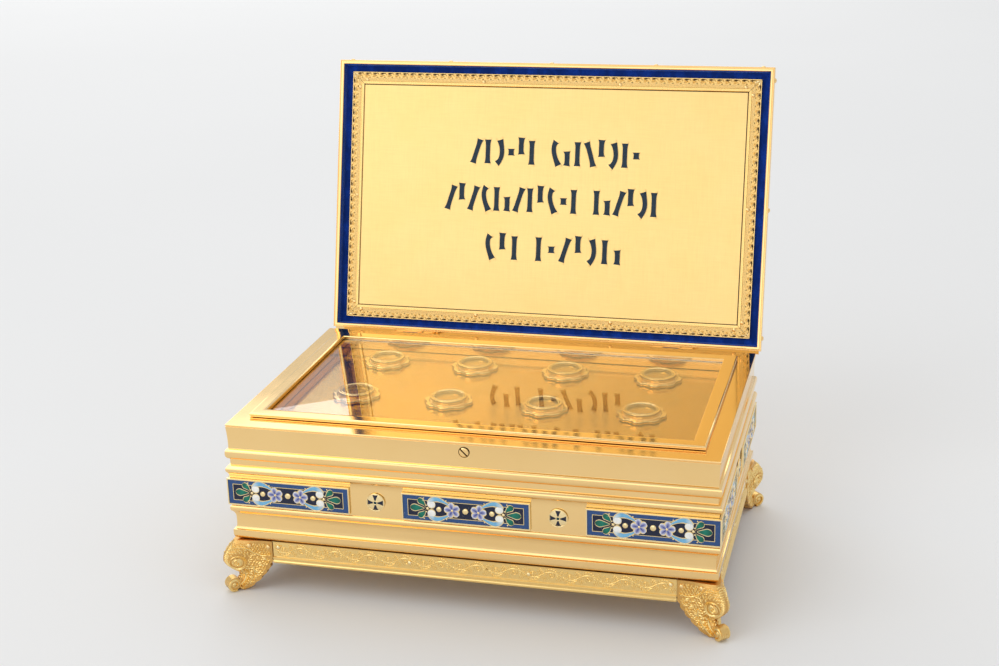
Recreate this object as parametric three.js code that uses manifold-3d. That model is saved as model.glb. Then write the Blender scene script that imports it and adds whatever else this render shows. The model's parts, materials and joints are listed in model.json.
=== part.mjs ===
// Open gilt reliquary casket: a moulded brass case on four scrolled corner feet, a glazed relic
// tray with eight round capsules let into its rim, and a shallow tray lid on two butt hinges.
// Millimetres, +Z up, the front faces -Y. The casket stands open, with its feet on z = 0.
import * as THREE from 'three';
import { mergeVertices } from 'three/addons/utils/BufferGeometryUtils.js';
import Module from 'manifold-3d';

const wasm = await Module();
wasm.setup();

// ---------------------------------------------------------------- driving dimensions
const GAP = 0.3; // clearance between pieces that rest on one another
const CASE = { halfWidth: 150, halfDepth: 92.5, rimZ: 111, bottomZ: 34.7, wall: 4, flange: 3.2, sole: 14 };
const FRAME = { halfWidth: 139.7, halfDepth: 78.5, topZ: 113.8, band: 8.5, skirt: 3.5, groove: 6.3, footZ: 103.9 };
const GLASS = { bottomZ: 109.3, thickness: 2.1 };
const FLOOR = { topZ: 103.6, thickness: 2.8 };
const CAPSULE = { pitchX: 61.3, pitchY: 63, centreY: 14.3, lobeRadius: 15.6, notchRadius: 14.2, lobes: 8,
  flange: 1.8, ringRadius: 11.8, windowRadius: 9.9, height: 4.7 };
const LID = { halfWidth: 152, halfDepth: 94.5, lip: 2.8, recess: 7.6, thickness: 10.7 };
const LINING = { thickness: 0.8, clearance: 0.4 };
const BORDER = { halfWidth: 144, halfDepth: 87.1, width: 9.2, depth: 3.6, thickness: 2.6 };
const STUD = { radius: 1.7, height: 1.1, pitch: 72, sidePitch: 86, aboveLip: 4.2 };
const HINGE = { behindRim: 6.1, belowRim: 5.7, openDegrees: 104.1, x: 92, width: 28, knuckle: 3.8, bore: 1.6,
  pin: 1.3, leaf: 1.6, middle: 11, running: 0.4 };
const PANEL = { length: 78.8, height: 17.3, centreZ: 67.35, thickness: 1.5, rim: 0.8, recess: 0.45, cornerX: 151.3 };
const SIDE_PANEL = { nearY: 16.2, farY: 92.1 };
const BOSS = { radius: 5.8, x: 56, centreZ: 68 };
const APRON = { halfLengthX: 125.5, halfLengthY: 68, bottomZ: 20, thickness: 2.7, inset: 1.5 };
const FOOT = { flank: 24.2, face: -1.2, thickness: 3.2, chamfer: 2.4, rollRadius: 5.3, rollLength: 8.6,
  rollReach: 2.2, spread: 20, scallop: 1.1, scallops: 4, flankZ: 22.4, soleZ: 1 };
const SCREW = { z: 104.8, headRadius: 3, head: 1.1, shankRadius: 1.4, slot: 0.8 };

// ---------------------------------------------------------------- finishes
const finish = (color, roughness, metalness) => new THREE.MeshStandardMaterial({ color, roughness, metalness });
const gilt = () => finish(0xe6b56a, 0.18, 1);
const satinGilt = () => finish(0xf4d98c, 0.38, 1);
const castGilt = () => finish(0xe2b257, 0.34, 1);
const enamel = () => finish(0x24418f, 0.2, 0.1);
const velvet = () => finish(0x0c2f86, 0.95, 0);
const clear = () => finish(0xdfe8e6, 0.05, 0);

// ---------------------------------------------------------------- geometry helpers
// A rectangular loop of four corners at one height.
const rect = (halfX, halfY, z) => [[-1, -1], [1, -1], [1, 1], [-1, 1]]
  .map(([sx, sy]) => new THREE.Vector3(sx * halfX, sy * halfY, z));

// Splits a flat loop into triangles, as indices from its first vertex.
function capIndices(loop, first) {
  const contour = loop.map((p) => new THREE.Vector2(p.x, p.y));
  const flipped = THREE.ShapeUtils.isClockWise(contour);
  const faces = THREE.ShapeUtils.triangulateShape(flipped ? [...contour].reverse() : contour, []);
  return faces.map((face) => {
    const own = face.map((i) => first + (flipped ? loop.length - 1 - i : i));
    return flipped ? own.reverse() : own;
  });
}

function signedVolume(points, faces) {
  return faces.reduce((sum, [a, b, c]) => {
    const normal = new THREE.Vector3().crossVectors(points[b], points[c]);
    return sum + points[a].dot(normal);
  }, 0);
}

// Skins a row of loops that have equal counts into one closed body: a ring when ringed is true,
// or else a stack with a flat cap on each end.
function skin(loops, ringed = false) {
  const count = loops[0].length;
  const points = loops.flat();
  const faces = [];
  const rows = ringed ? loops.length : loops.length - 1;
  for (let row = 0; row < rows; row++) {
    const near = row * count;
    const far = ((row + 1) % loops.length) * count;
    for (let i = 0; i < count; i++) {
      const j = (i + 1) % count;
      faces.push([near + i, near + j, far + j], [near + i, far + j, far + i]);
    }
  }
  if (!ringed) {
    const last = points.length - count;
    capIndices(loops[0], 0).forEach(([a, b, c]) => faces.push([c, b, a]));
    capIndices(loops.at(-1), last).forEach((face) => faces.push(face));
  }
  const outward = signedVolume(points, faces) > 0;
  const index = faces.flatMap(([a, b, c]) => (outward ? [a, b, c] : [c, b, a]));
  const geometry = new THREE.BufferGeometry();
  geometry.setAttribute('position', new THREE.Float32BufferAttribute(points.flatMap((p) => p.toArray()), 3));
  geometry.setIndex(index);
  geometry.computeVertexNormals();
  return geometry;
}

function toSolid(geometry) {
  const bare = geometry.clone();
  bare.deleteAttribute('normal');
  bare.deleteAttribute('uv');
  const merged = mergeVertices(bare, 1e-4);
  return new wasm.Manifold(new wasm.Mesh({
    numProp: 3,
    vertProperties: new Float32Array(merged.attributes.position.array),
    triVerts: new Uint32Array(merged.index.array),
  }));
}

function fromSolid(solid) {
  const mesh = solid.getMesh();
  const geometry = new THREE.BufferGeometry();
  geometry.setAttribute('position', new THREE.BufferAttribute(mesh.vertProperties, 3));
  geometry.setIndex(new THREE.BufferAttribute(mesh.triVerts, 1));
  geometry.computeVertexNormals();
  return geometry;
}

const join = (...geometries) => fromSolid(geometries.map(toSolid).reduce((whole, next) => whole.add(next)));
const cut = (body, ...tools) => fromSolid(tools.map(toSolid).reduce((left, tool) => left.subtract(tool), toSolid(body)));

// Boxes and round bars given by their lowest and highest corner, or by their ends along X.
function slab([x0, y0, z0], [x1, y1, z1]) {
  return new THREE.BoxGeometry(x1 - x0, y1 - y0, z1 - z0).translate((x0 + x1) / 2, (y0 + y1) / 2, (z0 + z1) / 2);
}

const barX = (radius, x0, x1, sides) => new THREE.CylinderGeometry(radius, radius, x1 - x0, sides)
  .rotateZ(Math.PI / 2).translate((x0 + x1) / 2, 0, 0);

const barY = (radius, y0, y1, sides) => new THREE.CylinderGeometry(radius, radius, y1 - y0, sides)
  .translate(0, (y0 + y1) / 2, 0);

const turned = (profile, sides) => new THREE.LatheGeometry(profile.map(([r, h]) => new THREE.Vector2(r, h)), sides)
  .rotateX(Math.PI / 2);

function piece(name, geometry, material, place = [0, 0, 0]) {
  const mesh = new THREE.Mesh(geometry, material);
  mesh.name = name;
  mesh.position.set(...place);
  return mesh;
}

function assembly(...members) {
  const group = new THREE.Group();
  group.add(...members);
  return group;
}

// A group whose -Y side is turned to face one side of the case: 0 front, 1 right, 2 back, 3 left.
function facing(quarterTurns, ...members) {
  const group = assembly(...members);
  group.rotation.z = quarterTurns * Math.PI / 2;
  return group;
}

// ---------------------------------------------------------------- case
// Section of the case's outside from the rim down: x is how far it stands out from the rim's
// edge, y is its height.
function caseMoulding() {
  const line = new THREE.Path();
  line.moveTo(-0.3, CASE.rimZ).lineTo(0, CASE.rimZ - 0.3);
  line.quadraticCurveTo(-0.9, 103, -0.75, 95.2); // top fascia, a shallow hollow
  line.lineTo(0.3, 94.8).quadraticCurveTo(1.4, 93.6, 1.1, 91.2); // fillet with a round nose
  line.quadraticCurveTo(0.9, 89.2, -1.1, 88.2).lineTo(-1.2, 84.2); // flat sunk band
  line.lineTo(0.2, 84).quadraticCurveTo(2.3, 81.6, 0.2, 79.3); // upper bead
  line.lineTo(-0.4, 79.2).lineTo(-0.4, 57.6); // frieze behind the enamels
  line.lineTo(0.2, 57.4).quadraticCurveTo(1.2, 55.7, 0.2, 54); // lower bead
  line.quadraticCurveTo(-1.9, 52.4, -1.95, 48.5).lineTo(-1.95, 45); // cove
  line.quadraticCurveTo(-1.9, 42.8, -1.2, 41.6);
  line.lineTo(0, 41.2).lineTo(0, 38).quadraticCurveTo(-0.1, 36, -2.6, CASE.bottomZ); // base
  return line.getPoints(3);
}

function caseWalls() {
  const inset = (dx, z, dy = dx) => rect(CASE.halfWidth - dx, CASE.halfDepth - dy, z);
  const opening = rimOpening();
  const loops = [
    ...caseMoulding().map((p) => inset(-p.x, p.y)),
    inset(CASE.sole, CASE.bottomZ),
    inset(CASE.sole, CASE.bottomZ + 3),
    inset(CASE.wall, CASE.bottomZ + 3),
    inset(CASE.wall, CASE.rimZ - CASE.flange),
    rect(...opening, CASE.rimZ - CASE.flange),
    rect(...opening, CASE.rimZ),
  ];
  const screwHole = barY(SCREW.shankRadius + 0.4, -CASE.halfDepth - 5, -CASE.halfDepth + 6, 12).translate(0, 0, SCREW.z);
  return cut(skin(loops, true), screwHole);
}

// Half sizes of the opening in the rim, which the glazed frame's skirt drops into.
function rimOpening() {
  const inset = FRAME.skirt - 0.4;
  return [FRAME.halfWidth - inset, FRAME.halfDepth - inset];
}

function bottomPlate() {
  const z = CASE.bottomZ + 3 + GAP;
  const inset = CASE.wall + 0.4;
  const halfX = CASE.halfWidth - inset;
  const halfY = CASE.halfDepth - inset;
  return slab([-halfX, -halfY, z], [halfX, halfY, z + 2]);
}

function lockScrew() {
  const face = -CASE.halfDepth + 0.1; // the hollow of the fascia at the screw's height
  const shankEnd = -FRAME.halfDepth + FRAME.skirt - GAP;
  const head = turned([[0, 0], [SCREW.headRadius, 0], [SCREW.headRadius, 0.6], [2.4, SCREW.head], [0, SCREW.head]], 16)
    .rotateX(Math.PI / 2);
  const shank = barY(SCREW.shankRadius, -0.2, shankEnd - face, 10);
  const slot = slab([-4, -3, -SCREW.slot / 2], [4, -0.6, SCREW.slot / 2]).rotateY(-Math.PI / 4);
  return cut(join(head, shank), slot).translate(0, face, SCREW.z);
}

// ---------------------------------------------------------------- glazed relic tray
function glazedFrame() {
  const inset = (d, z) => rect(FRAME.halfWidth - d, FRAME.halfDepth - d, z);
  const bed = GLASS.bottomZ - GAP;
  const lip = GLASS.bottomZ + GLASS.thickness + GAP;
  const seat = CASE.rimZ + GAP;
  return skin([
    inset(0, seat), inset(0, FRAME.topZ - 1), inset(0.3, FRAME.topZ - 0.4), inset(0.9, FRAME.topZ),
    inset(FRAME.band - 0.6, FRAME.topZ), inset(FRAME.band, FRAME.topZ - 0.6), inset(FRAME.band, lip),
    inset(FRAME.groove, lip), inset(FRAME.groove, bed), inset(FRAME.band, bed), inset(FRAME.band, FRAME.footZ),
    inset(FRAME.skirt, FRAME.footZ), inset(FRAME.skirt, seat),
  ], true);
}

function glassPane() {
  const inset = FRAME.groove + GAP;
  const [x, y] = [FRAME.halfWidth - inset, FRAME.halfDepth - inset];
  return slab([-x, -y, GLASS.bottomZ], [x, y, GLASS.bottomZ + GLASS.thickness]);
}

function relicFloor() {
  const [x, y] = [FRAME.halfWidth - FRAME.skirt, FRAME.halfDepth - FRAME.skirt];
  return slab([-x, -y, FLOOR.topZ - FLOOR.thickness], [x, y, FLOOR.topZ]);
}

// Lobed flange with a round bezel on it, open through the middle under the lens.
function capsuleCase() {
  const outline = new THREE.Shape();
  const step = 2 * Math.PI / CAPSULE.lobes;
  for (let lobe = 0; lobe < CAPSULE.lobes; lobe++) {
    const corners = [[-0.36, CAPSULE.notchRadius], [-0.3, CAPSULE.lobeRadius], [0.3, CAPSULE.lobeRadius],
      [0.36, CAPSULE.notchRadius]];
    for (const [turn, radius] of corners) {
      const angle = (lobe + turn) * step;
      const [x, y] = [radius * Math.cos(angle), radius * Math.sin(angle)];
      if (lobe === 0 && turn === -0.36) outline.moveTo(x, y);
      else outline.lineTo(x, y);
    }
  }
  const flange = new THREE.ExtrudeGeometry(outline, { depth: CAPSULE.flange, bevelEnabled: false });
  const { ringRadius, windowRadius, height } = CAPSULE;
  const bezel = turned([[0, 0.4], [ringRadius, 0.4], [ringRadius, height - 0.6], [ringRadius - 0.7, height], [0, height]], 16);
  const window = turned([[0, -1], [windowRadius, -1], [windowRadius, height + 1], [0, height + 1]], 16);
  return cut(join(flange, bezel), window);
}

function capsuleLens() {
  const radius = CAPSULE.windowRadius - 0.5;
  return turned([[0, 3], [radius, 3], [radius, 3.4], [radius * 0.6, 4.1], [0, 4.4]], 12);
}

function capsules() {
  const members = [];
  const base = FLOOR.topZ + GAP;
  for (let index = 0; index < 8; index++) {
    const [row, column] = [Math.floor(index / 4), index % 4];
    const place = [(column - 1.5) * CAPSULE.pitchX, CAPSULE.centreY + (row - 0.5) * CAPSULE.pitchY, base];
    members.push(piece(`capsule_${index + 1}_case`, capsuleCase(), gilt(), place));
    members.push(piece(`capsule_${index + 1}_lens`, capsuleLens(), clear(), place));
  }
  return assembly(...members);
}

// ---------------------------------------------------------------- lid, drawn shut with its lip on z = 0
function lidTray() {
  const inset = (d, z) => rect(LID.halfWidth - d, LID.halfDepth - d, z);
  const tray = skin([
    inset(LID.lip, LID.recess), inset(LID.lip, 0), inset(0.4, 0), inset(0, 0.4),
    inset(0, 6.4), inset(1.2, 7.4), inset(1.6, 8.2), inset(6, 9), inset(7, 10), inset(8.2, LID.thickness),
  ]);
  return join(tray, ...lidStuds());
}

// Round-headed screws let into the lid's four edges: five in front, three on each other side.
function lidStuds() {
  const dome = turned([[0, -0.4], [STUD.radius, -0.4], [STUD.radius, 0.3], [STUD.radius * 0.6, STUD.height],
    [0, STUD.height]], 8).rotateX(Math.PI / 2);
  const edge = (quarterTurns, along, halfDepth) => dome.clone().translate(along, -halfDepth, STUD.aboveLip)
    .rotateZ(quarterTurns * Math.PI / 2);
  const front = [-2, -1, 0, 1, 2].map((i) => edge(0, i * STUD.pitch, LID.halfDepth));
  const back = [-2, 0, 2].map((i) => edge(2, i * STUD.pitch, LID.halfDepth));
  const sides = [1, 3].flatMap((side) => [-1, 0, 1].map((i) => edge(side, i * STUD.sidePitch, LID.halfWidth)));
  return [...front, ...back, ...sides];
}

function velvetLining() {
  const inset = LID.lip + LINING.clearance;
  const [x, y] = [LID.halfWidth - inset, LID.halfDepth - inset];
  const top = LID.recess - GAP;
  return slab([-x, -y, top - LINING.thickness], [x, y, top]);
}

// One mitred strip of the ornament border. Its section steps down from the leaf band to the plate.
function borderStrip(halfLength, halfSpan) {
  const { depth, thickness, width } = BORDER;
  const back = depth + thickness;
  const section = [[0, back], [0, depth + 0.5], [0.5, depth], [5.2, depth], [5.6, depth + 0.4], [6.4, depth + 0.4],
    [6.8, depth], [8.4, depth], [width, depth + 0.8], [width, back]];
  const end = (side) => section.map(([across, z]) => {
    const reach = halfLength - across - GAP / 2;
    return new THREE.Vector3(side * reach, -halfSpan + across, z);
  });
  return spanBetween(end(-1), end(1));
}

// A bar between two end faces that have the same corners, and that may lie in slanting planes.
function spanBetween(near, far) {
  const contour = near.map((p) => new THREE.Vector2(p.y, p.z));
  const count = near.length;
  const cap = THREE.ShapeUtils.triangulateShape(contour, []);
  const faces = cap.flatMap(([a, b, c]) => [[a, b, c], [c + count, b + count, a + count]]);
  for (let i = 0; i < count; i++) {
    const j = (i + 1) % count;
    faces.push([j, i, i + count], [j, i + count, j + count]);
  }
  const points = [...near, ...far];
  const outward = signedVolume(points, faces) > 0;
  const geometry = new THREE.BufferGeometry();
  geometry.setAttribute('position', new THREE.Float32BufferAttribute(points.flatMap((p) => p.toArray()), 3));
  geometry.setIndex(faces.flatMap(([a, b, c]) => (outward ? [a, b, c] : [c, b, a])));
  geometry.computeVertexNormals();
  return geometry;
}

function inscriptionPlate() {
  const inset = BORDER.width + GAP;
  const [x, y] = [BORDER.halfWidth - inset, BORDER.halfDepth - inset];
  return slab([-x, -y, BORDER.depth + 0.6], [x, y, BORDER.depth + BORDER.thickness]);
}

function lidBorder() {
  const names = ['border_front', 'border_right', 'border_back', 'border_left'];
  return names.map((name, side) => {
    const spans = [BORDER.halfWidth, BORDER.halfDepth];
    const [length, span] = side % 2 ? [spans[1], spans[0]] : spans;
    return facing(side, piece(name, borderStrip(length, span), castGilt()));
  });
}

// ---------------------------------------------------------------- hinges, drawn about the pin's axis
// The leaf on the case's back, with the two outer knuckles.
function caseLeaf() {
  const { width, knuckle, bore, middle, running, leaf, behindRim, belowRim } = HINGE;
  const knuckleInner = middle / 2 + running;
  const back = -behindRim + GAP;
  const plate = slab([-width / 2, back, -9.6], [width / 2, back + leaf, belowRim - 2]);
  const webs = [-1, 1].map((side) => {
    const [a, b] = [side * knuckleInner, side * width / 2].sort((p, q) => p - q);
    return join(barX(knuckle, a, b, 16), slab([a, back + leaf - 0.4, -2.4], [b, -1, 1.2]));
  });
  return cut(join(plate, ...webs), barX(bore, -width, width, 12));
}

// The leaf on the lid's back edge when the lid is shut, with a tongue down to the middle knuckle.
function lidLeaf() {
  const { width, knuckle, bore, middle, leaf, behindRim, belowRim } = HINGE;
  const lidBack = LID.halfDepth - CASE.halfDepth - behindRim;
  const near = lidBack + GAP;
  const lipZ = belowRim + GAP;
  const plate = slab([-width / 2, near, lipZ + 0.3], [width / 2, near + leaf, lipZ + 6]);
  const tongue = slab([-middle / 2, near, 1.5], [middle / 2, near + leaf, lipZ + 3]);
  const barrel = join(barX(knuckle, -middle / 2, middle / 2, 16), tongue);
  return cut(join(plate, barrel), barX(bore, -width, width, 12));
}

function hingePin() {
  const { width, pin } = HINGE;
  const caps = [-1, 1].map((side) => {
    const [a, b] = [side * (width / 2 + GAP), side * (width / 2 + 1.3)].sort((p, q) => p - q);
    return barX(2.4, a, b, 12);
  });
  return join(barX(pin, -width / 2 - 0.8, width / 2 + 0.8, 12), ...caps);
}

const HINGE_SIDES = [['left', -HINGE.x], ['right', HINGE.x]];
const hingeAxis = [0, CASE.halfDepth + HINGE.behindRim, CASE.rimZ - HINGE.belowRim];

function caseHinges() {
  const halves = HINGE_SIDES.flatMap(([side, x]) => [
    piece(`hinge_${side}_case_leaf`, caseLeaf(), gilt(), [x, 0, 0]),
    piece(`hinge_${side}_pin`, hingePin(), gilt(), [x, 0, 0]),
  ]);
  const group = assembly(...halves);
  group.position.set(...hingeAxis);
  return group;
}

// Everything that swings with the lid, turned back about the pins to its open stop.
function lid() {
  const shut = assembly(
    piece('lid_tray', lidTray(), gilt()),
    piece('velvet_lining', velvetLining(), velvet()),
    piece('inscription_plate', inscriptionPlate(), satinGilt()),
    ...lidBorder(),
  );
  shut.position.set(0, -hingeAxis[1], HINGE.belowRim + GAP);
  const leaves = HINGE_SIDES.map(([side, x]) => piece(`hinge_${side}_lid_leaf`, lidLeaf(), gilt(), [x, 0, 0]));
  const swinging = assembly(shut, ...leaves);
  swinging.rotation.x = -THREE.MathUtils.degToRad(HINGE.openDegrees);
  swinging.position.set(...hingeAxis);
  return swinging;
}

// ---------------------------------------------------------------- frieze
// A shallow tray for the enamel, lying on its back with the rim up.
function enamelPanel(length) {
  const inset = (d, z) => rect(length / 2 - d, PANEL.height / 2 - d, z);
  const field = PANEL.thickness - PANEL.recess;
  return skin([
    inset(0, 0), inset(0, PANEL.thickness - 0.2), inset(0.2, PANEL.thickness),
    inset(PANEL.rim - 0.15, PANEL.thickness), inset(PANEL.rim, field),
  ]);
}

// A round boss with a raised rim and a stone in its middle.
function crossBoss() {
  const r = BOSS.radius;
  return turned([[0, 0], [r, 0], [r, 0.9], [r - 0.5, 1.2], [r - 1, 0.8], [1.3, 0.8], [0.9, 1.4], [0, 1.6]], 14);
}

// Stands a piece that lies on its back up against the frieze, at x along the side.
function onFrieze(mesh, x, z, halfDepth) {
  mesh.rotation.x = Math.PI / 2;
  mesh.position.set(x, -halfDepth + 0.4 - GAP, z);
  return mesh;
}

function longFrieze(prefix) {
  const cornerX = PANEL.cornerX - PANEL.length / 2;
  const panels = [['left', -cornerX], ['middle', 0], ['right', cornerX]].map(([side, x]) =>
    onFrieze(piece(`enamel_${prefix}_${side}`, enamelPanel(PANEL.length), enamel()), x, PANEL.centreZ, CASE.halfDepth));
  const bosses = [['left', -BOSS.x], ['right', BOSS.x]].map(([side, x]) =>
    onFrieze(piece(`boss_${prefix}_${side}`, crossBoss(), gilt()), x, BOSS.centreZ, CASE.halfDepth));
  return [...panels, ...bosses];
}

function shortFrieze(prefix) {
  const length = SIDE_PANEL.farY - SIDE_PANEL.nearY;
  const x = (SIDE_PANEL.farY + SIDE_PANEL.nearY) / 2;
  const panels = [['left', -x], ['right', x]].map(([side, place]) =>
    onFrieze(piece(`enamel_${prefix}_${side}`, enamelPanel(length), enamel()), place, PANEL.centreZ, CASE.halfWidth));
  const boss = onFrieze(piece(`boss_${prefix}`, crossBoss(), gilt()), 0, BOSS.centreZ, CASE.halfWidth);
  return [...panels, boss];
}

// ---------------------------------------------------------------- aprons and feet
// A straight apron: a plain upper band for the foliage, over a pair of fillets.
function apron(halfLength, halfDepth) {
  const top = CASE.bottomZ - GAP;
  const { bottomZ: low, thickness: face } = APRON;
  const section = new THREE.Shape();
  section.moveTo(0, low).lineTo(face + 0.3, low).lineTo(face + 0.7, low + 0.5).lineTo(face + 0.7, low + 1.6);
  section.lineTo(face + 0.1, low + 2).lineTo(face + 0.1, low + 2.7).lineTo(face + 0.5, low + 3);
  section.lineTo(face + 0.5, low + 3.8).lineTo(face, low + 4.2).lineTo(face, top).lineTo(0, top);
  const bar = new THREE.ExtrudeGeometry(section, { depth: 2 * halfLength, bevelEnabled: false });
  const stand = new THREE.Matrix4().makeBasis(
    new THREE.Vector3(0, -1, 0), new THREE.Vector3(0, 0, 1), new THREE.Vector3(-1, 0, 0));
  return bar.applyMatrix4(stand).translate(halfLength, -halfDepth + APRON.inset + face, 0);
}

// How far the foot's corner stands out from the case's corner at a height: an ogee.
const KNEE = new THREE.SplineCurve([[34.4, 0.8], [29, 4.6], [22, 7.1], [14.5, 2.6], [10.5, -1.4], [6, 0], [1, 1.2]]
  .map(([z, out]) => new THREE.Vector2(z, out)));

// How far the foot runs along each side at a height, before its leafy edge is scalloped.
const LEAF_EDGE = new THREE.SplineCurve([[22.4, 24.2], [16, 21.4], [8, 15.2], [1, 8.6]]
  .map(([z, run]) => new THREE.Vector2(z, run)));

function readCurve(curve, z) {
  let [low, high] = [0, 1];
  for (let step = 0; step < 24; step++) {
    const middle = (low + high) / 2;
    if (curve.getPoint(middle).x > z) low = middle;
    else high = middle;
  }
  return curve.getPoint(low).y;
}

function flankLength(z) {
  if (z >= FOOT.flankZ) return FOOT.flank;
  const phase = FOOT.scallops * (FOOT.flankZ - z) / (FOOT.flankZ - FOOT.soleZ);
  return readCurve(LEAF_EDGE, z) + FOOT.scallop * Math.abs(Math.sin(Math.PI * phase)) - 0.3;
}

// Plan of the foot at one height: two flanks that swell out to a chamfered corner. The case's
// corner is the origin and the case lies towards -X and -Y.
function footPlan(z) {
  const out = readCurve(KNEE, z);
  const run = flankLength(z);
  const flare = (distance) => 0.5 * (1 + Math.cos(Math.PI * Math.min(1, distance / FOOT.spread)));
  const outer = [1, 0.72, 0.46, 0.22, 0].map((share) => {
    const beyond = share * (run + out - FOOT.chamfer);
    return [out - FOOT.chamfer - beyond, FOOT.face + (out - FOOT.face) * flare(beyond)];
  });
  const inner = FOOT.face - FOOT.thickness;
  const mirrored = outer.map(([x, y]) => [y, x]).reverse();
  const plan = [...outer, ...mirrored, [inner, -run], [inner, inner], [-run, inner]];
  return plan.map(([x, y]) => new THREE.Vector3(x, y, z));
}

function cornerFoot() {
  const upper = [CASE.bottomZ - GAP, 31, 27.5, 24.5];
  const steps = FOOT.scallops * 3;
  const lower = Array.from({ length: steps + 1 }, (_, i) =>
    FOOT.flankZ + (FOOT.soleZ - FOOT.flankZ) * i / steps);
  const bracket = skin([...upper, ...lower].map(footPlan));
  const sides = 14;
  const roll = barX(FOOT.rollRadius / Math.cos(Math.PI / sides), -FOOT.rollLength / 2, FOOT.rollLength / 2, sides)
    .rotateX(Math.PI / sides);
  const reach = FOOT.rollReach / Math.SQRT2;
  roll.rotateZ(-Math.PI / 4).translate(reach, reach, FOOT.rollRadius);
  return join(bracket, roll);
}

function feet() {
  const corners = [['back_right', 1, 1, 0], ['back_left', -1, 1, 1], ['front_left', -1, -1, 2], ['front_right', 1, -1, 3]];
  return corners.map(([name, sx, sy, quarterTurns]) => {
    const foot = piece(`foot_${name}`, cornerFoot(), castGilt(), [sx * CASE.halfWidth, sy * CASE.halfDepth, 0]);
    foot.rotation.z = quarterTurns * Math.PI / 2;
    return foot;
  });
}

// ---------------------------------------------------------------- the whole casket
const SIDES = [['front', 0], ['right', 1], ['back', 2], ['left', 3]];

function friezeAndAprons() {
  return SIDES.map(([name, quarterTurns]) => {
    const long = quarterTurns % 2 === 0;
    const frieze = long ? longFrieze(name) : shortFrieze(name);
    const span = long ? [APRON.halfLengthX, CASE.halfDepth] : [APRON.halfLengthY, CASE.halfWidth];
    return facing(quarterTurns, ...frieze, piece(`apron_${name}`, apron(...span), castGilt()));
  });
}

const casket = assembly(
  piece('case_walls', caseWalls(), gilt()),
  piece('bottom_plate', bottomPlate(), satinGilt()),
  piece('lock_screw', lockScrew(), gilt()),
  piece('glazed_frame', glazedFrame(), gilt()),
  piece('glass_pane', glassPane(), clear()),
  piece('relic_floor', relicFloor(), gilt()),
  capsules(),
  caseHinges(),
  lid(),
  ...friezeAndAprons(),
  ...feet(),
);

// The origin is the middle of the open casket's footprint, on the surface that it stands on.
casket.updateMatrixWorld(true);
const extent = new THREE.Box3().setFromObject(casket, true);
casket.position.y = -(extent.min.y + extent.max.y) / 2;

const group = assembly(casket);
export default group;
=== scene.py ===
"""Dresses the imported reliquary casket: polished gilt mouldings, cloisonne enamel plaques, cast feet and
aprons, a velvet-lined lid with an engraved border, and a glazed tray of eight round capsules.
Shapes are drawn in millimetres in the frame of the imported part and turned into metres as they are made."""
import json
import math

import bmesh
import bpy
from bpy.props import FloatProperty, FloatVectorProperty, IntProperty, PointerProperty
from mathutils import Matrix, Vector, noise


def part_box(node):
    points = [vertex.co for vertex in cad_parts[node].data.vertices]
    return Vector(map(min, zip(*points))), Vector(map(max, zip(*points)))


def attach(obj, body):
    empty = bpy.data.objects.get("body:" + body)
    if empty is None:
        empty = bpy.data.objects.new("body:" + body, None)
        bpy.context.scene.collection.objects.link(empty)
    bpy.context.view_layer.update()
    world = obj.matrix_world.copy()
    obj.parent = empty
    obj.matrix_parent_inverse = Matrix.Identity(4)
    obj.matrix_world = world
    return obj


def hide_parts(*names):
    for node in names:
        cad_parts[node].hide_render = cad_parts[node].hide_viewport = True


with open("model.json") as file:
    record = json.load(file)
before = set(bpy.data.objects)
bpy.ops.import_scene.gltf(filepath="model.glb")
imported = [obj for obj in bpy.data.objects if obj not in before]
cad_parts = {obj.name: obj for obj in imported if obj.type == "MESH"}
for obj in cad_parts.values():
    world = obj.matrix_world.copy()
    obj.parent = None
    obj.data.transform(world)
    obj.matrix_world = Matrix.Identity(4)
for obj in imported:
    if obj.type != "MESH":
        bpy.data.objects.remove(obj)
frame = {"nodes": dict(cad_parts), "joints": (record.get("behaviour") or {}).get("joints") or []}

bl_info = {
    "name": "Reliquary casket",
    "version": (1, 0, 0),
    "blender": (4, 5, 0),
    "location": "3D View > Sidebar > Casket",
    "description": "Makes the visible pieces of a gilt reliquary casket round its packed part",
    "category": "Add Mesh",
}

MM = 0.001
TAU = 2 * math.pi
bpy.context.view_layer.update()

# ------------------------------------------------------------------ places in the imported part
FRONT, RIGHT, BACK, LEFT = range(4)
SIDE_NAMES = ("front", "right", "back", "left")
SIDE_TURNS = ((1, 0), (0, 1), (-1, 0), (0, -1))  # cosine and sine of each side's turn from the front
HALF_X, HALF_Y, RIM_Z = 150.0, 92.5, 111.0  # the case's half width, half depth and height
FACE_INSET, LOCK_Z, PLAQUE_Z, BOSS_Z = 0.1, 104.8, 67.35, 68.0
FRAME_LOW, FRAME_HIGH = (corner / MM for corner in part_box("glazed_frame"))
CENTRE_Y = (FRAME_LOW.y + FRAME_HIGH.y) / 2
HINGE = frame["joints"][0]
PIN_Y, PIN_Z = HINGE["pos_m"][1] / MM, HINGE["pos_m"][2] / MM
OPEN = math.radians(HINGE["range_deg"][1])
PIN_BEHIND, LIP_ABOVE_PIN = HALF_Y + 6.1, 6.0
LID_X, LID_Y, LID_LIP = 152.0, 94.5, 2.8
BORDER_X, BORDER_Y, BORDER_DEPTH = 144.0, 87.1, 3.6
PLATE_DEPTH = 4.2


def on_side(side, inset):
    """Maps x along a side, z up and a height out from a plane just inside the case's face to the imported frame."""
    c, s = SIDE_TURNS[side]
    face = (HALF_Y, HALF_X)[side % 2] - inset

    def place(x, z, out):
        y = -face - out
        return c * x - s * y, s * x + c * y + CENTRE_Y, z

    return place


def upright(side, inset, x, z):
    """Stands a unit that is drawn lying on its back against a side, with its middle at x and z."""
    stand = on_side(side, inset)
    return lambda px, py, out: stand(x + px, z + py, out)


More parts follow.
